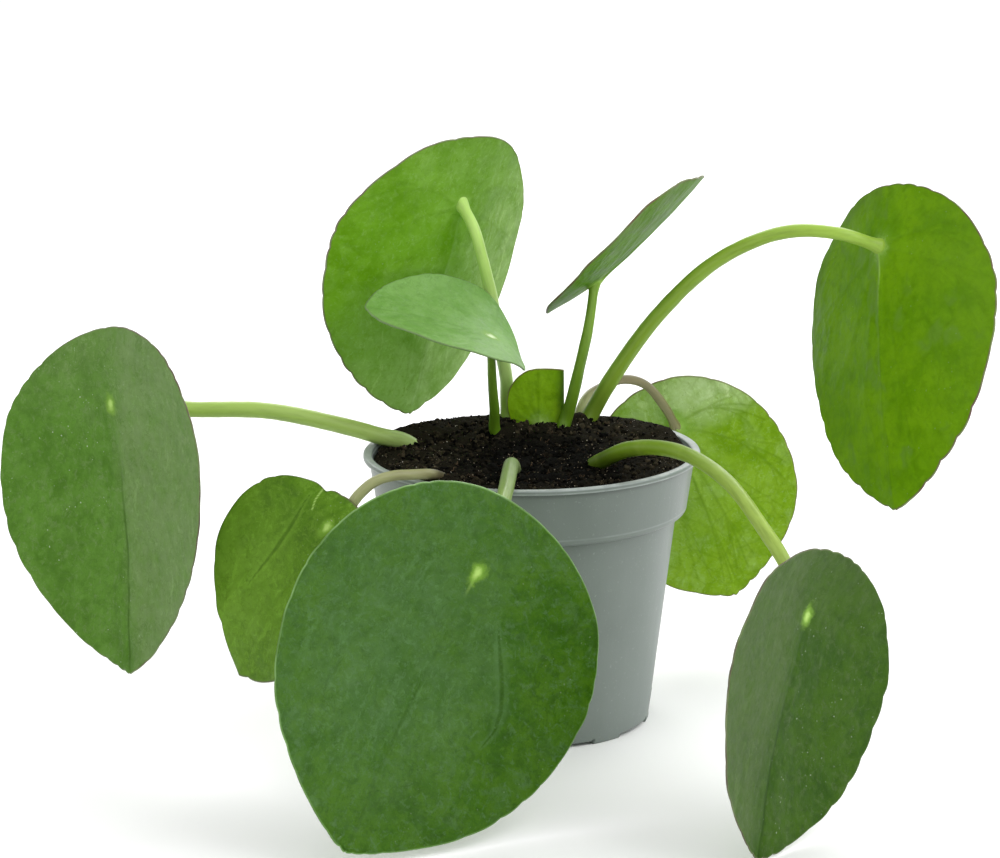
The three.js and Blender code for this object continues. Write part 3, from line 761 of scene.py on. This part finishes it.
def vein_lines(leaf, rng):
    """The main veins of a blade, as flat lines of (place, half width): rays that bend towards the
    tip, fork past half way and are linked by arches near the edge."""
    lines = []

    def add(outs, angles, widths):
        u, v = blade_plane(leaf, np.array(outs), np.radians(np.array(angles)))
        lines.append(np.column_stack([u, v, widths]))

    def ray_angle(start, out, sway):
        return start * (1 - 0.16 * out * out) + sway * math.sin(3 * out)

    starts = sorted([0.0] + [sign * angle + rng.uniform(-5, 5)
                             for angle in VEIN_ANGLES for sign in (-1, 1)])
    sways = [rng.uniform(-3, 3) for _ in starts]
    for start, sway in zip(starts, sways):
        sway = sway if start else 0
        outs = np.linspace(0.0, 0.93, VEIN_STEPS)
        add(outs, [ray_angle(start, out, sway) for out in outs], 1.05 - 0.6 * outs)
        for side in (-1, 1):
            fork = rng.uniform(0.42, 0.62)
            reach = rng.uniform(8, 13)
            outs = np.linspace(fork, rng.uniform(0.86, 0.94), 6)
            bend = ((outs - fork) / (1 - fork)) ** 0.8 * reach * side
            add(outs, [ray_angle(start, o, sway) + b for o, b in zip(outs, bend)],
                0.6 - 0.25 * (outs - fork))
    for (first, last, sway) in zip(starts, starts[1:], sways):
        share = np.linspace(0, 1, 8)
        base = rng.uniform(0.6, 0.72)
        outs = base + 0.16 * np.sin(math.pi * share)
        add(outs, [ray_angle(first + (last - first) * s, o, sway) for s, o in zip(share, outs)],
            np.full(8, 0.42))
    return lines


def line_distance(line, u, v):
    """Distance from a flat line to each place, in millimetres, or in half widths of a vein."""
    nearest = np.full(u.shape, 1e3)
    for (u0, v0, w0), (u1, v1, w1) in zip(line, line[1:]):
        du, dv = u1 - u0, v1 - v0
        share = np.clip(((u - u0) * du + (v - v0) * dv) / (du * du + dv * dv + 1e-9), 0, 1)
        away = np.hypot(u - u0 - share * du, v - v0 - share * dv)
        nearest = np.minimum(nearest, away / (w0 + (w1 - w0) * share))
    return nearest


def painted_light_strength(leaf, u, v, edge):
    """How much painted light lies at each place, from 0 to 1."""
    total = np.zeros(u.shape)
    if leaf.edge_haze:
        side, first, last, width, strength = leaf.edge_haze
        near = np.clip((width - edge) / (0.7 * width), 0, 1) * (side * u > 0)
        total = strength * near * rise(v, first, first + 10) * rise(last - v, 0, 16)
    for across, along, wide, long, soft, strength in leaf.haze:
        away = np.hypot((u - across) / wide, (v - along) / long)
        total = np.maximum(total, strength * np.clip((1 + soft - away) / (2 * soft), 0, 1))
    if leaf.haze_ends_at_crease:
        across, along = zip(*leaf.crease)
        beyond = np.clip(0.5 - (u - np.interp(v, along, across)) / 1.6, 0, 1)
        total *= 1 - 0.75 * beyond
    return total


def leaf_sheet(cells):
    """A flat square of two skins, closed round its edge. z is 1 on the upper skin, 0 on the line
    half way between them and -1 on the under skin."""
    bm = bmesh.new()
    bmesh.ops.create_grid(bm, x_segments=cells, y_segments=cells, size=1)
    bmesh.ops.translate(bm, verts=bm.verts, vec=(0, 0, 1))
    made = bmesh.ops.extrude_face_region(bm, geom=bm.faces[:], use_keep_orig=True)["geom"]
    bmesh.ops.translate(bm, verts=only(BMVert, made), vec=(0, 0, -2))
    upright = [e for e in bm.edges if abs(e.verts[0].co.z - e.verts[1].co.z) > 1]
    bmesh.ops.subdivide_edges(bm, edges=upright, cuts=1, use_grid_fill=True)
    bmesh.ops.recalc_face_normals(bm, faces=bm.faces)
    for face in bm.faces:
        height = face.calc_center_median().z
        face.material_index = 0 if height > 0.9 else 1 if height < -0.9 else 2
    return bm


def noise_round(angle, scale, seed):
    """Noise that runs on without a join round the leaf."""
    return np.array([noise.noise(Vector((math.sin(a) * scale, math.cos(a) * scale, seed)))
                     for a in angle])


def edge_lobes(leaf, angle, seed):
    """How far the edge stands out or in at each angle, in millimetres: round lobes with sharp
    notches, deeper towards the tip and uneven round the leaf."""
    count, depth = leaf.scallops
    turns = angle * count / (2 * math.pi)
    drift = noise_round(angle, 1.5, seed)
    lobes = np.abs(np.sin(math.pi * (turns + 1.2 * drift))) ** 0.7 - 0.7
    rest = noise_round(angle, 2.5, seed + 9)
    strength = (0.75 + 0.25 * np.cos(angle)) * np.clip(0.85 + 2.2 * rest, 0.15, 1.5)
    return depth * lobes * strength + 0.9 * depth * drift


def folded(leaf, u, height):
    """Bends the part of a blade beyond a line back round it, as on a leaf that is still opening."""
    start, angle = leaf.fold[0], math.radians(leaf.fold[1])
    past = FOLD_SHRINK * np.maximum(0, -u - start)
    turn = np.minimum(past / FOLD_RADIUS, angle)
    straight = np.maximum(0, past - FOLD_RADIUS * angle)
    side = start + FOLD_RADIUS * np.sin(turn) + straight * math.cos(angle)
    lifted = FOLD_RADIUS * (1 - np.cos(turn)) + straight * math.sin(angle)
    return np.where(past > 0, -side, u), height + lifted


def blade_outline(leaf, x, y, side, seed):
    """Where each place of the sheet lies on the flat blade: how far across and along it, how far
    out from 0 in the middle to 1 at the edge, at which angle, and how far in from the edge."""
    out, angle = np.hypot(x, y), np.arctan2(x, y)
    reach = np.hypot(*blade_plane(leaf, 1.0, angle))
    lobes = edge_lobes(leaf, angle, seed)
    if leaf.notch:
        across, along, depth = leaf.notch
        aim = math.atan2(across / leaf.right, (along - leaf.middle) / (leaf.back + leaf.middle))
        lobes = lobes - depth * np.exp(-(np.abs(angle - aim) / NOTCH_WIDTH) ** 1.3)
    stretch = lobes * out ** 14 + RIM_BULGE * (1 - side ** 2)
    u, v = blade_plane(leaf, out * (1 + stretch / reach), angle)
    return u, v, out, angle, (1 - out) * reach


def leaf_blade(leaf, seed):
    """One leaf: a thin cupped blade with veins sunk into its upper face and raised below."""
    mesh = new_mesh(f"{leaf.name}_leaf", leaf_sheet(leaf.cells))
    count = len(mesh.vertices)
    flat = np.empty(count * 3)
    mesh.vertices.foreach_get("co", flat)
    x, y, side = flat.reshape(-1, 3).T
    u, v, out, angle, edge = blade_outline(leaf, *square_to_disc(x, y), side, seed)

    # Distances from what is drawn on the blade.
    lines = vein_lines(leaf, random.Random(seed))
    vein = np.min([line_distance(line, u, v) for line in lines], axis=0)
    joint = np.hypot(u, v)
    waver = np.array([noise.noise(Vector((along / 14, seed, 0))) for along in v])
    midrib = np.where(v > 0, np.abs(u - 0.9 * waver), joint)
    drawn = {"vein": vein, "joint": joint, "midrib": midrib, "edge": edge,
             "spot": np.hypot(1.2 * u, 0.8 * v), "haze": painted_light_strength(leaf, u, v, edge),
             "blade_place": np.column_stack([u / 100, v / 100, np.full(count, seed * 3.7)])}

    # The lie of the blade.
    half_width = (leaf.left + leaf.right) / 2
    size = half_width / USUAL_HALF_WIDTH
    left_cup = leaf.cup if leaf.left_cup is None else leaf.left_cup
    cup = np.where(u > 0, leaf.cup, left_cup)
    height = cup * (np.abs(u) / half_width) ** CUP_POWER
    height += np.where(v > 0, leaf.tip_curl * (v / leaf.tip) ** 2,
                       leaf.back_curl * (v / leaf.back) ** 2)
    waves = sum(
        wave * np.array([noise.noise(Vector((a / length, b / length, seed + shift)))
                         for a, b in zip(u, v)])
        for wave, length, shift in BLADE_WAVES)
    height += size * waves * rise(joint, 0, 12)
    height += RIPPLE_HEIGHT * size * np.sin(angle * RIPPLE_COUNT + seed) * out ** 8
    height += BULGE_HEIGHT * size * (1 - hill(vein, BULGE_WIDTH))
    groove = RIB_GROOVE_DEPTH * size * (0.3 + 0.7 * leaf.midrib)
    height -= groove * hill(midrib, RIB_GROOVE_WIDTH) * rise(joint, 0, 10)
    if leaf.crease:
        last = len(leaf.crease) - 1
        fine = [0.3 + 0.7 * min(1, k / 2, (last - k) / 2) for k in range(last + 1)]
        drawn["crease"] = line_distance([(*p, w) for p, w in zip(leaf.crease, fine)], u, v)
        height -= CREASE_DEPTH * hill(drawn["crease"], CREASE_WIDTH)
    if leaf.scar:
        drawn["scar"] = line_distance([(*p, 1) for p in leaf.scar], u, v)

    # The relief of each face.
    ridge, dimple = hill(vein, 1), hill(joint, 2.6)
    upper_relief = -0.1 * ridge * (1 - out) * rise(joint, 0, 12) - 0.1 * dimple
    rib_ridge = 0.45 * hill(midrib, 0.7) * np.exp(-joint / 18)
    web = 0.9 * hill(midrib, 1.6) * np.exp(-joint / 2.5)
    under_relief = -0.16 * ridge * (1 - 0.8 * out) - rib_ridge - web - 0.3 * dimple
    height += side * BLADE_THICKNESS / 2
    height += np.where(side > 0.5, upper_relief, np.where(side < -0.5, under_relief, 0))
    if leaf.fold:
        u, height = folded(leaf, u, height)

    across, along, up = blade_axes(leaf)
    place = np.array(leaf.at) + np.outer(u, across) + np.outer(v, along) + np.outer(height, up)
    mesh.vertices.foreach_set("co", (place * MM).astype(np.float32).ravel())
    mesh.update()
    for name, values in drawn.items():
        store(mesh, name, values)
    finishes = [blade_finish(leaf, "upper"), blade_finish(leaf, "under"), leaf_rim_finish(leaf)]
    add_piece(f"{leaf.name}_leaf", mesh, finishes, [f"leaf_{leaf.name}"])


# Leaf stems

def curve_through(places, per_span=14):
    """Points along a smooth centripetal Catmull-Rom curve through the places."""
    guides = [2 * places[0] - places[1], *places, 2 * places[-1] - places[-2]]
    line = []
    for p0, p1, p2, p3 in zip(guides, guides[1:], guides[2:], guides[3:]):
        t1 = math.sqrt((p1 - p0).length)
        t2 = t1 + math.sqrt((p2 - p1).length)
        t3 = t2 + math.sqrt((p3 - p2).length)
        for step in range(per_span):
            t = t1 + (t2 - t1) * step / per_span
            a = p0.lerp(p1, t / t1)
            b = p1.lerp(p2, (t - t1) / (t2 - t1))
            c = p2.lerp(p3, (t - t2) / (t3 - t2))
            d, e = a.lerp(b, t / t2), b.lerp(c, (t - t1) / (t3 - t1))
            line.append(d.lerp(e, (t - t1) / (t2 - t1)))
    line.append(places[-1])
    return line


def evenly(line, step):
    """The line again, with points about one step apart."""
    runs = np.cumsum([0.0] + [(b - a).length for a, b in zip(line, line[1:])])
    wanted = np.linspace(0, runs[-1], max(4, round(runs[-1] / step)) + 1)
    columns = [np.interp(wanted, runs, [p[axis] for p in line]) for axis in range(3)]
    return [Vector(p) for p in zip(*columns)], wanted


def stem_line(leaf):
    """The leaf stem's centre line, from the main stem through the soil and into the blade."""
    middle_x, middle_y = MAIN_STEM_PLACE
    first = (leaf.buried or leaf.route)[0]
    heading = math.atan2(first[1] - middle_y, first[0] - middle_x)
    start = MAIN_STEM_RADIUS + STEM_START_GAP
    leaving = [(middle_x + math.cos(heading) * away, middle_y + math.sin(heading) * away, leaf.bud)
               for away in (start, start + BURIED_TURN)]
    line = curve_through([Vector(p) for p in (*leaving, *leaf.buried, *leaf.route, leaf.at)])
    heading = (line[-1] - line[-2]).normalized()
    return [*line, Vector(leaf.at) + heading * leaf.width[1]]


def tube(bm, line, radii, sides):
    """A round rod along a line, with a radius for each of its points, closed at both ends."""
    heading = (line[1] - line[0]).normalized()
    turn = heading.to_track_quat("Z", "Y")
    ring = bmesh.ops.create_circle(
        bm, cap_ends=True, segments=sides, radius=radii[0],
        matrix=Matrix.Translation(line[0]) @ turn.to_matrix().to_4x4())["verts"]
    edges = [e for e in bm.edges if e.verts[0] in ring and e.verts[1] in ring]
    rings = [ring]
    for k in range(1, len(line)):
        ahead = line[min(k + 1, len(line) - 1)] - line[k - 1]
        bend = heading.rotation_difference(ahead.normalized())
        heading = ahead.normalized()
        made = bmesh.ops.extrude_edge_only(bm, edges=edges)["geom"]
        ring = only(BMVert, made)
        edges = [e for e in only(BMEdge, made) if e.verts[0] in ring and e.verts[1] in ring]
        move = (Matrix.Translation(line[k]) @ bend.to_matrix().to_4x4()
                @ Matrix.Scale(radii[k] / radii[k - 1], 4) @ Matrix.Translation(-line[k - 1]))
        bmesh.ops.transform(bm, matrix=move, verts=ring)
        rings.append(ring)
    bmesh.ops.edgeloop_fill(bm, edges=edges)
    return rings


def trim_to_blade(leaf, verts):
    """Presses the end of a leaf stem flat against the middle of its blade."""
    at, up = Vector(leaf.at), blade_axes(leaf)[2]
    for vert in verts:
        above = (vert.co - at).dot(up)
        if above > 0 and (vert.co - at).length < 3 * leaf.width[1]:
            vert.co -= up * above


def leaf_stem(leaf, seed):
    """One leaf stem: a juicy tapered rod, wider at its foot and flared where it meets the blade."""
    line, runs = evenly(stem_line(leaf), STEM_STEP)
    total = runs[-1]
    joint = total - leaf.width[1]
    foot, top = (width / 2 for width in leaf.width)
    radii = []
    for place, run in zip(line, runs):
        above = place.z - soil_height(place.x, place.y)
        radius = foot + (top - foot) * run / total
        radius += STEM_FLARE * top * hill(joint - run, STEM_FLARE_LENGTH)
        radius += STEM_FOOT_SWELL * foot * hill(max(0.0, above), STEM_FOOT_LENGTH)
        radius += STEM_UNEVENNESS * foot * noise.noise(Vector((run / 9, seed, 0)))
        radii.append(radius)
    bm = bmesh.new()
    along = bm.verts.layers.float.new("along")
    from_soil = bm.verts.layers.float.new("from_soil")
    stem_place = bm.verts.layers.float_vector.new("stem_place")
    leaves_soil = min(r for p, r in zip(line, runs) if p.z > soil_height(p.x, p.y))
    rings = tube(bm, line, radii, STEM_SIDES)
    for number, (ring, run, place) in enumerate(zip(rings, runs, line)):
        heading = line[min(number + 1, len(line) - 1)] - line[max(number - 1, 0)]
        upright = heading.rotation_difference(Vector((0, 0, 1)))
        for vert in ring:
            round_it = upright @ (vert.co - place)
            vert[stem_place] = Vector((round_it.x, round_it.y, run + 50 * seed))
            vert[along] = run / total
            vert[from_soil] = run - leaves_soil
            swell = 1 + 0.03 * noise.noise(vert.co / 2.5)
            vert.co = place + (vert.co - place) * swell
    trim_to_blade(leaf, bm.verts)
    name = f"{leaf.name}_stem"
    add_piece(name, finished_mesh(name, bm), [leaf_stem_finish(leaf)],
              [f"leaf_stem_{leaf.name}"])


# Main stem

def main_stem():
    """The short thick stem under the soil, ringed with old leaf scars."""
    bottom, top = MAIN_STEM_HEIGHTS
    shares = [k / MAIN_STEM_RINGS for k in range(MAIN_STEM_RINGS + 1)]
    line = [Vector((*MAIN_STEM_PLACE, bottom + (top - bottom) * share)) for share in shares]
    radii = []
    for share in shares:
        ends = min(1.0, 0.55 + 3 * share, 0.5 + 4 * (1 - share))
        radii.append(MAIN_STEM_RADIUS * ends * (0.94 + 0.05 * math.cos(share * 40)))
    bm = bmesh.new()
    for ring, place in zip(tube(bm, line, radii, MAIN_STEM_SIDES), line):
        for vert in ring:
            vert.co = place + (vert.co - place) * (1 + 0.1 * noise.noise(vert.co / 3))
    mesh = finished_mesh("short_main_stem", bm)
    add_piece("short_main_stem", mesh, [bark_finish()], ["main_stem"])


# Pot

def rounded(start, corner, end, steps=4):
    """Profile points of a quarter round from start to end that bulges towards corner."""
    start, corner, end = map(Vector, (start, corner, end))
    return [tuple(start.lerp(corner, t).lerp(corner.lerp(end, t), t))
            for t in (k / steps for k in range(steps + 1))]


def pot_profile():
    """Half section of the pot, as (radius, height), from the middle of its underside up the
    outside, over the lip and down the inside."""
    floor_top = FOOT_HEIGHT + FLOOR_THICKNESS
    lip = POT_HEIGHT - RIM_THICKNESS
    collar_low = POT_HEIGHT - COLLAR_DROP
    neck_top = collar_low - COLLAR_CORNER
    slope = (NECK_RADIUS - BASE_RADIUS) / (neck_top - BASE_CORNER)

    def wall_radius(height):
        return BASE_RADIUS + slope * (height - BASE_CORNER)

    line_low, line_high = MOULD_LINE_HEIGHT, MOULD_LINE_HEIGHT + 0.35
    inner_top, inner_low = COLLAR_TOP_RADIUS - WALL, COLLAR_LOW_RADIUS - WALL
    return [
        (0, FOOT_HEIGHT), (CENTRE_PAD_RADIUS, FOOT_HEIGHT), (CENTRE_PAD_RADIUS + 0.6, FOOT_HEIGHT),
        (FOOT_INNER, FOOT_HEIGHT), (BASE_RADIUS - BASE_CORNER, FOOT_HEIGHT),
        *rounded((BASE_RADIUS - 0.5, FOOT_HEIGHT), (BASE_RADIUS, FOOT_HEIGHT),
                 (wall_radius(FOOT_HEIGHT + 0.9), FOOT_HEIGHT + 0.9)),
        (wall_radius(line_low) + MOULD_LINE_DEPTH, line_low),
        (wall_radius(line_high), line_high),
        (wall_radius(30), 30), (wall_radius(50), 50),
        *rounded((wall_radius(neck_top - 0.5), neck_top - 0.5), (NECK_RADIUS, neck_top),
                 (NECK_RADIUS + 0.6, neck_top)),
        *rounded((NECK_RADIUS + COLLAR_STEP, neck_top), (COLLAR_LOW_RADIUS, neck_top),
                 (COLLAR_LOW_RADIUS, collar_low)),
        (COLLAR_TOP_RADIUS - 0.1, lip - 0.4),
        *rounded((COLLAR_TOP_RADIUS, lip - 0.2), (COLLAR_TOP_RADIUS, lip),
                 (COLLAR_TOP_RADIUS + 0.3, lip), 2),
        *rounded((RIM_RADIUS - 0.4, lip), (RIM_RADIUS, lip), (RIM_RADIUS, lip + 0.45)),
        *rounded((RIM_RADIUS, POT_HEIGHT - 0.7), (RIM_RADIUS, POT_HEIGHT),
                 (RIM_RADIUS - 0.7, POT_HEIGHT)),
        *rounded((inner_top + 1.1, POT_HEIGHT), (inner_top, POT_HEIGHT),
                 (inner_top, POT_HEIGHT - 1.1)),
        (inner_low, collar_low + WALL), (NECK_RADIUS - WALL, neck_top + WALL),
        (BASE_RADIUS - WALL, floor_top + BASE_CORNER),
        (BASE_RADIUS - WALL - BASE_CORNER, floor_top), (0, floor_top),
    ]


def drain_hole_rods():
    """Rods through the pot's floor, where its drain holes are."""
    bm = bmesh.new()
    for k in range(FOOT_COUNT):
        turn = math.radians(FIRST_FOOT_ANGLE + (k + 0.5) * 360 / FOOT_COUNT)
        place = (DRAIN_HOLE_CIRCLE * math.sin(turn), -DRAIN_HOLE_CIRCLE * math.cos(turn), 2)
        bmesh.ops.create_cone(
            bm, cap_ends=True, segments=32, radius1=DRAIN_HOLE_RADIUS, radius2=DRAIN_HOLE_RADIUS,
            depth=6, matrix=Matrix.Translation(place))
    return show("drain_holes", finished_mesh("drain_holes", bm))


def drilled(mesh):
    """The pot's mesh with the drain holes cut through it."""
    piece, rods = show("pot_uncut", mesh), drain_hole_rods()
    cut = piece.modifiers.new("drain holes", "BOOLEAN")
    cut.operation = "DIFFERENCE"
    cut.object = rods
    cut.solver = "EXACT"
    shape = piece.evaluated_get(bpy.context.evaluated_depsgraph_get())
    result = bpy.data.meshes.new_from_object(shape)
    for spent in (piece, rods):
        bpy.data.objects.remove(spent)
    result.name = "nursery_pot"
    return result


def under_pot(face, inner, outer):
    """Whether a face lies on the pot's underside, between two radii."""
    middle = face.calc_center_median()
    return middle.z < FOOT_HEIGHT + 0.4 and inner < math.hypot(middle.x, middle.y) < outer


def on_foot(face):
    """Whether a face lies within a foot's turn of the pot."""
    middle = face.calc_center_median()
    angle = math.degrees(math.atan2(middle.x, -middle.y)) - FIRST_FOOT_ANGLE
    pitch = 360 / FOOT_COUNT
    return abs((angle + pitch / 2) % pitch - pitch / 2) < FOOT_ANGLE / 2


def pot():
    bm = bmesh.new()
    profile = [bm.verts.new((radius, 0, height)) for radius, height in pot_profile()]
    edges = [bm.edges.new(pair) for pair in zip(profile, profile[1:])]
    bmesh.ops.spin(bm, geom=profile + edges, axis=(0, 0, 1), cent=(0, 0, 0),
                   angle=2 * math.pi, steps=POT_STEPS, use_merge=True)
    bmesh.ops.remove_doubles(bm, verts=bm.verts, dist=0.01)

    # The feet stand down from the ring under the wall, and the pad from the middle.
    standing = [f for f in bm.faces if under_pot(f, FOOT_INNER, BASE_RADIUS) and on_foot(f)]
    standing += [f for f in bm.faces if under_pot(f, -1, CENTRE_PAD_RADIUS)]
    made = bmesh.ops.extrude_face_region(bm, geom=standing)["geom"]
    for vert in only(BMVert, made):
        vert.co.z -= FOOT_HEIGHT
    mesh = drilled(finished_mesh("nursery_pot", bm))
    add_piece("nursery_pot", mesh, [pot_finish()], ["pot"])
    mesh.set_sharp_from_angle(angle=math.radians(38))


# Soil

def soil_bed():
    """The block of soil: a crumbly top that fills the pot, on plain sides and a plain bottom."""
    bm = bmesh.new()
    bmesh.ops.create_grid(bm, x_segments=SOIL_CELLS, y_segments=SOIL_CELLS, size=1)
    soil_pale = bm.verts.layers.float.new("soil_pale")
    for vert in bm.verts:
        x, y = square_to_disc(vert.co.x, vert.co.y)
        out = math.hypot(x, y)
        x, y = x * SOIL_TOP_RADIUS, y * SOIL_TOP_RADIUS
        place = Vector((x, y, 0))
        rough = 1.3 * noise.fractal(place / 6, 0.9, 2.1, 4) + 0.5 * noise.noise(place / 1.3)
        vert[soil_pale] = soil_paleness(x, y)
        sideways = abs(x) / (out * SOIL_TOP_RADIUS + 0.1)
        edge_drop = (0.15 + 1.1 * sideways ** 4 if y < 10 else 0.2) * out ** 12
        vert.co = (x, y, soil_height(x, y) + rough * (1 - 0.75 * out ** 8) - edge_drop)
    inside = WALL + SOIL_GAP
    collar_low = POT_HEIGHT - COLLAR_DROP + inside
    levels = [
        (COLLAR_LOW_RADIUS - inside, collar_low),
        (NECK_RADIUS - inside, collar_low - COLLAR_CORNER),
        (BASE_RADIUS - inside - BASE_CORNER, SOIL_BOTTOM),
    ]
    edges = [e for e in bm.edges if e.is_boundary]
    for radius, height in levels:
        made = bmesh.ops.extrude_edge_only(bm, edges=edges)["geom"]
        edges = [e for e in only(BMEdge, made) if e.is_boundary]
        for vert in only(BMVert, made):
            scale = radius / math.hypot(vert.co.x, vert.co.y)
            vert.co = (vert.co.x * scale, vert.co.y * scale, height)
    bmesh.ops.edgeloop_fill(bm, edges=edges)
    add_piece("soil_bed", finished_mesh("soil_bed", bm), [soil_finish()], ["soil"])


def soil_paleness(x, y):
    """How pale the soil is at a place, from 0 to 1: low in the middle, where shade is painted."""
    away = math.dist((x, y), SHADED_SOIL_CENTRE)
    inner, outer = SHADED_SOIL_RADII
    patchy = 0.35 * noise.noise(Vector((x / 9, y / 9, 4)))
    return min(1.0, max(0.0, (away - inner) / (outer - inner) + patchy))


def soil_place(rng, limit=SOIL_TOP_RADIUS - 0.8):
    away = limit * math.sqrt(rng.random())
    turn = rng.uniform(0, 2 * math.pi)
    x, y = away * math.cos(turn), away * math.sin(turn)
    return Vector((x, y, soil_height(x, y)))


def crumb(bm, rng, sizes, lift):
    """One lump of soil, knocked out of round."""
    tone = bm.verts.layers.float["tone"]
    size = sizes[0] + (sizes[1] - sizes[0]) * rng.random() ** 2.5
    place = soil_place(rng)
    if math.hypot(place.x, place.y) > FINE_SOIL_FROM:
        size *= 0.55
    # Crumbs are darker in the middle: painted shade.
    shade = rng.random() ** 2.4 * (0.3 + 1.5 * soil_paleness(place.x, place.y))
    place.z += size * lift * rng.uniform(-0.4, 1)
    turn = Matrix.Rotation(rng.uniform(0, 6.3), 4, Vector([rng.gauss(0, 1) for _ in range(3)]))
    stretch = Matrix.Diagonal([rng.uniform(*span) for span in CRUMB_STRETCH] + [1])
    made = bmesh.ops.create_icosphere(
        bm, subdivisions=1, radius=size, matrix=Matrix.Translation(place) @ turn @ stretch)
    for vert in made["verts"]:
        vert[tone] = min(1.0, shade)
        vert.co += Vector([rng.gauss(0, 0.13 * size) for _ in range(3)])


def soil_crumbs(name, count, sizes, finish, seed, lift=0.35):
    """Loose lumps strewn over the soil, each with a tone of its own. They are made a few at a
    time, because an operator takes longer on a large mesh."""
    rng = random.Random(seed)
    strewn = bmesh.new()
    while count > 0:
        bm = bmesh.new()
        bm.verts.layers.float.new("tone")
        for _ in range(min(count, CRUMBS_AT_A_TIME)):
            crumb(bm, rng, sizes, lift)
        count -= CRUMBS_AT_A_TIME
        handful = new_mesh("handful", bm)
        strewn.from_mesh(handful)
        bpy.data.meshes.remove(handful)
    mesh = finished_mesh(name, strewn)
    add_piece(name, mesh, [finish])
    mesh.shade_flat()


def soil_fibres():
    """Thin peat and coir fibres that lie and curl on the soil."""
    rng = random.Random(FIBRE_SEED)
    bm = bmesh.new()
    tone = bm.verts.layers.float.new("tone")
    for _ in range(FIBRE_COUNT):
        place = soil_place(rng, SOIL_TOP_RADIUS - 5)
        turn = rng.uniform(0, 2 * math.pi)
        length = rng.uniform(1, 3.6)
        curl = rng.uniform(-0.15, 0.15)
        line = []
        for _ in range(FIBRE_POINTS):
            line.append(place + Vector((0, 0, rng.uniform(0.3, 1.5))))
            turn += curl
            ahead = Vector((math.cos(turn), math.sin(turn), 0))
            place = place + ahead * length / (FIBRE_POINTS - 1)
            place.z = soil_height(place.x, place.y)
        shade = rng.random()
        thick = rng.uniform(0.05, 0.13)
        for ring in tube(bm, line, [thick] * len(line), FIBRE_SIDES):
            for vert in ring:
                vert[tone] = shade
    finish = crumb_finish("soil_fibre", (26, 20, 15), (88, 72, 54), 900)
    add_piece("soil_fibres", finished_mesh("soil_fibres", bm), [finish])


# ---------------------------------------------------------------------------- stage

def camera():
    data = bpy.data.cameras.new("camera")
    data.lens = CAMERA_LENS
    data.sensor_width = 36
    shown = show("camera", data)
    pitch = Matrix.Rotation(math.radians(90 - CAMERA_LOOKS_DOWN), 4, "X")
    roll = Matrix.Rotation(math.radians(CAMERA_ROLL), 4, "Z")
    shown.matrix_world = Matrix.Translation(CAMERA_PLACE) @ pitch @ roll
    bpy.context.scene.camera = shown


def soft_light(name, place, size, power, tint=(1, 1, 1)):
    """A soft box, turned towards the middle of the plant."""
    data = bpy.data.lights.new(name, "AREA")
    data.shape = "RECTANGLE"
    data.size, data.size_y = size
    data.energy = power
    data.color = tint
    lamp = show(name, data)
    lamp.location = place
    aim = Vector(LIGHTS_AIM) - Vector(place)
    lamp.rotation_euler = aim.to_track_quat("-Z", "Y").to_euler()
    lamp.visible_camera = False


def studio():
    """A pale floor under a plain bright sky, brighter to the right, with soft boxes."""
    bm = bmesh.new()
    bmesh.ops.create_grid(bm, x_segments=8, y_segments=8, size=9)
    mesh = new_mesh("floor", bm)
    mesh.materials.append(floor_finish())
    show("floor", mesh)

    world = bpy.data.worlds.new("studio")
    bpy.context.scene.world = world
    world.use_nodes = True
    nodes, links = world.node_tree.nodes, world.node_tree.links
    place = nodes.new("ShaderNodeTexCoord")
    axes = nodes.new("ShaderNodeSeparateXYZ")
    spread = nodes.new("ShaderNodeMapRange")
    low, high = SKY_STRENGTH
    for key, value in (("From Min", -1), ("From Max", 1), ("To Min", low), ("To Max", high)):
        spread.inputs[key].default_value = value
    links.new(place.outputs["Generated"], axes.inputs[0])
    links.new(axes.outputs["X"], spread.inputs["Value"])
    links.new(spread.outputs[0], nodes["Background"].inputs["Strength"])
    nodes["Background"].inputs["Color"].default_value = (1, 1, 1, 1)

    soft_light("key", (1.1, -0.7, 1.2), (1.2, 1.2), 11)
    soft_light("left", (-1.4, -0.6, 0.8), (1.0, 1.0), 2.4)
    soft_light("behind", (0.0, 1.5, 1.2), (2.2, 1.0), 22)
    soft_light("right edge", (1.3, 0.7, 0.2), (0.5, 0.9), 2.3, (0.8, 0.78, 1.0))
    bpy.context.scene.view_settings.view_transform = "Standard"


camera()
studio()
pot()
soil_bed()
soil_crumbs("soil_crumbs", CRUMB_COUNT, (0.2, 1.15),
            crumb_finish("soil_crumb", (4, 4, 3), (62, 56, 42), 1400), seed=1)
soil_crumbs("soil_specks", SPECK_COUNT, (0.09, 0.28),
            crumb_finish("soil_speck", (120, 108, 88), (198, 192, 178), 2500), seed=2, lift=1.8)
soil_fibres()
main_stem()
for number, leaf in enumerate(LEAVES, start=1):
    leaf_stem(leaf, number)
    leaf_blade(leaf, number)
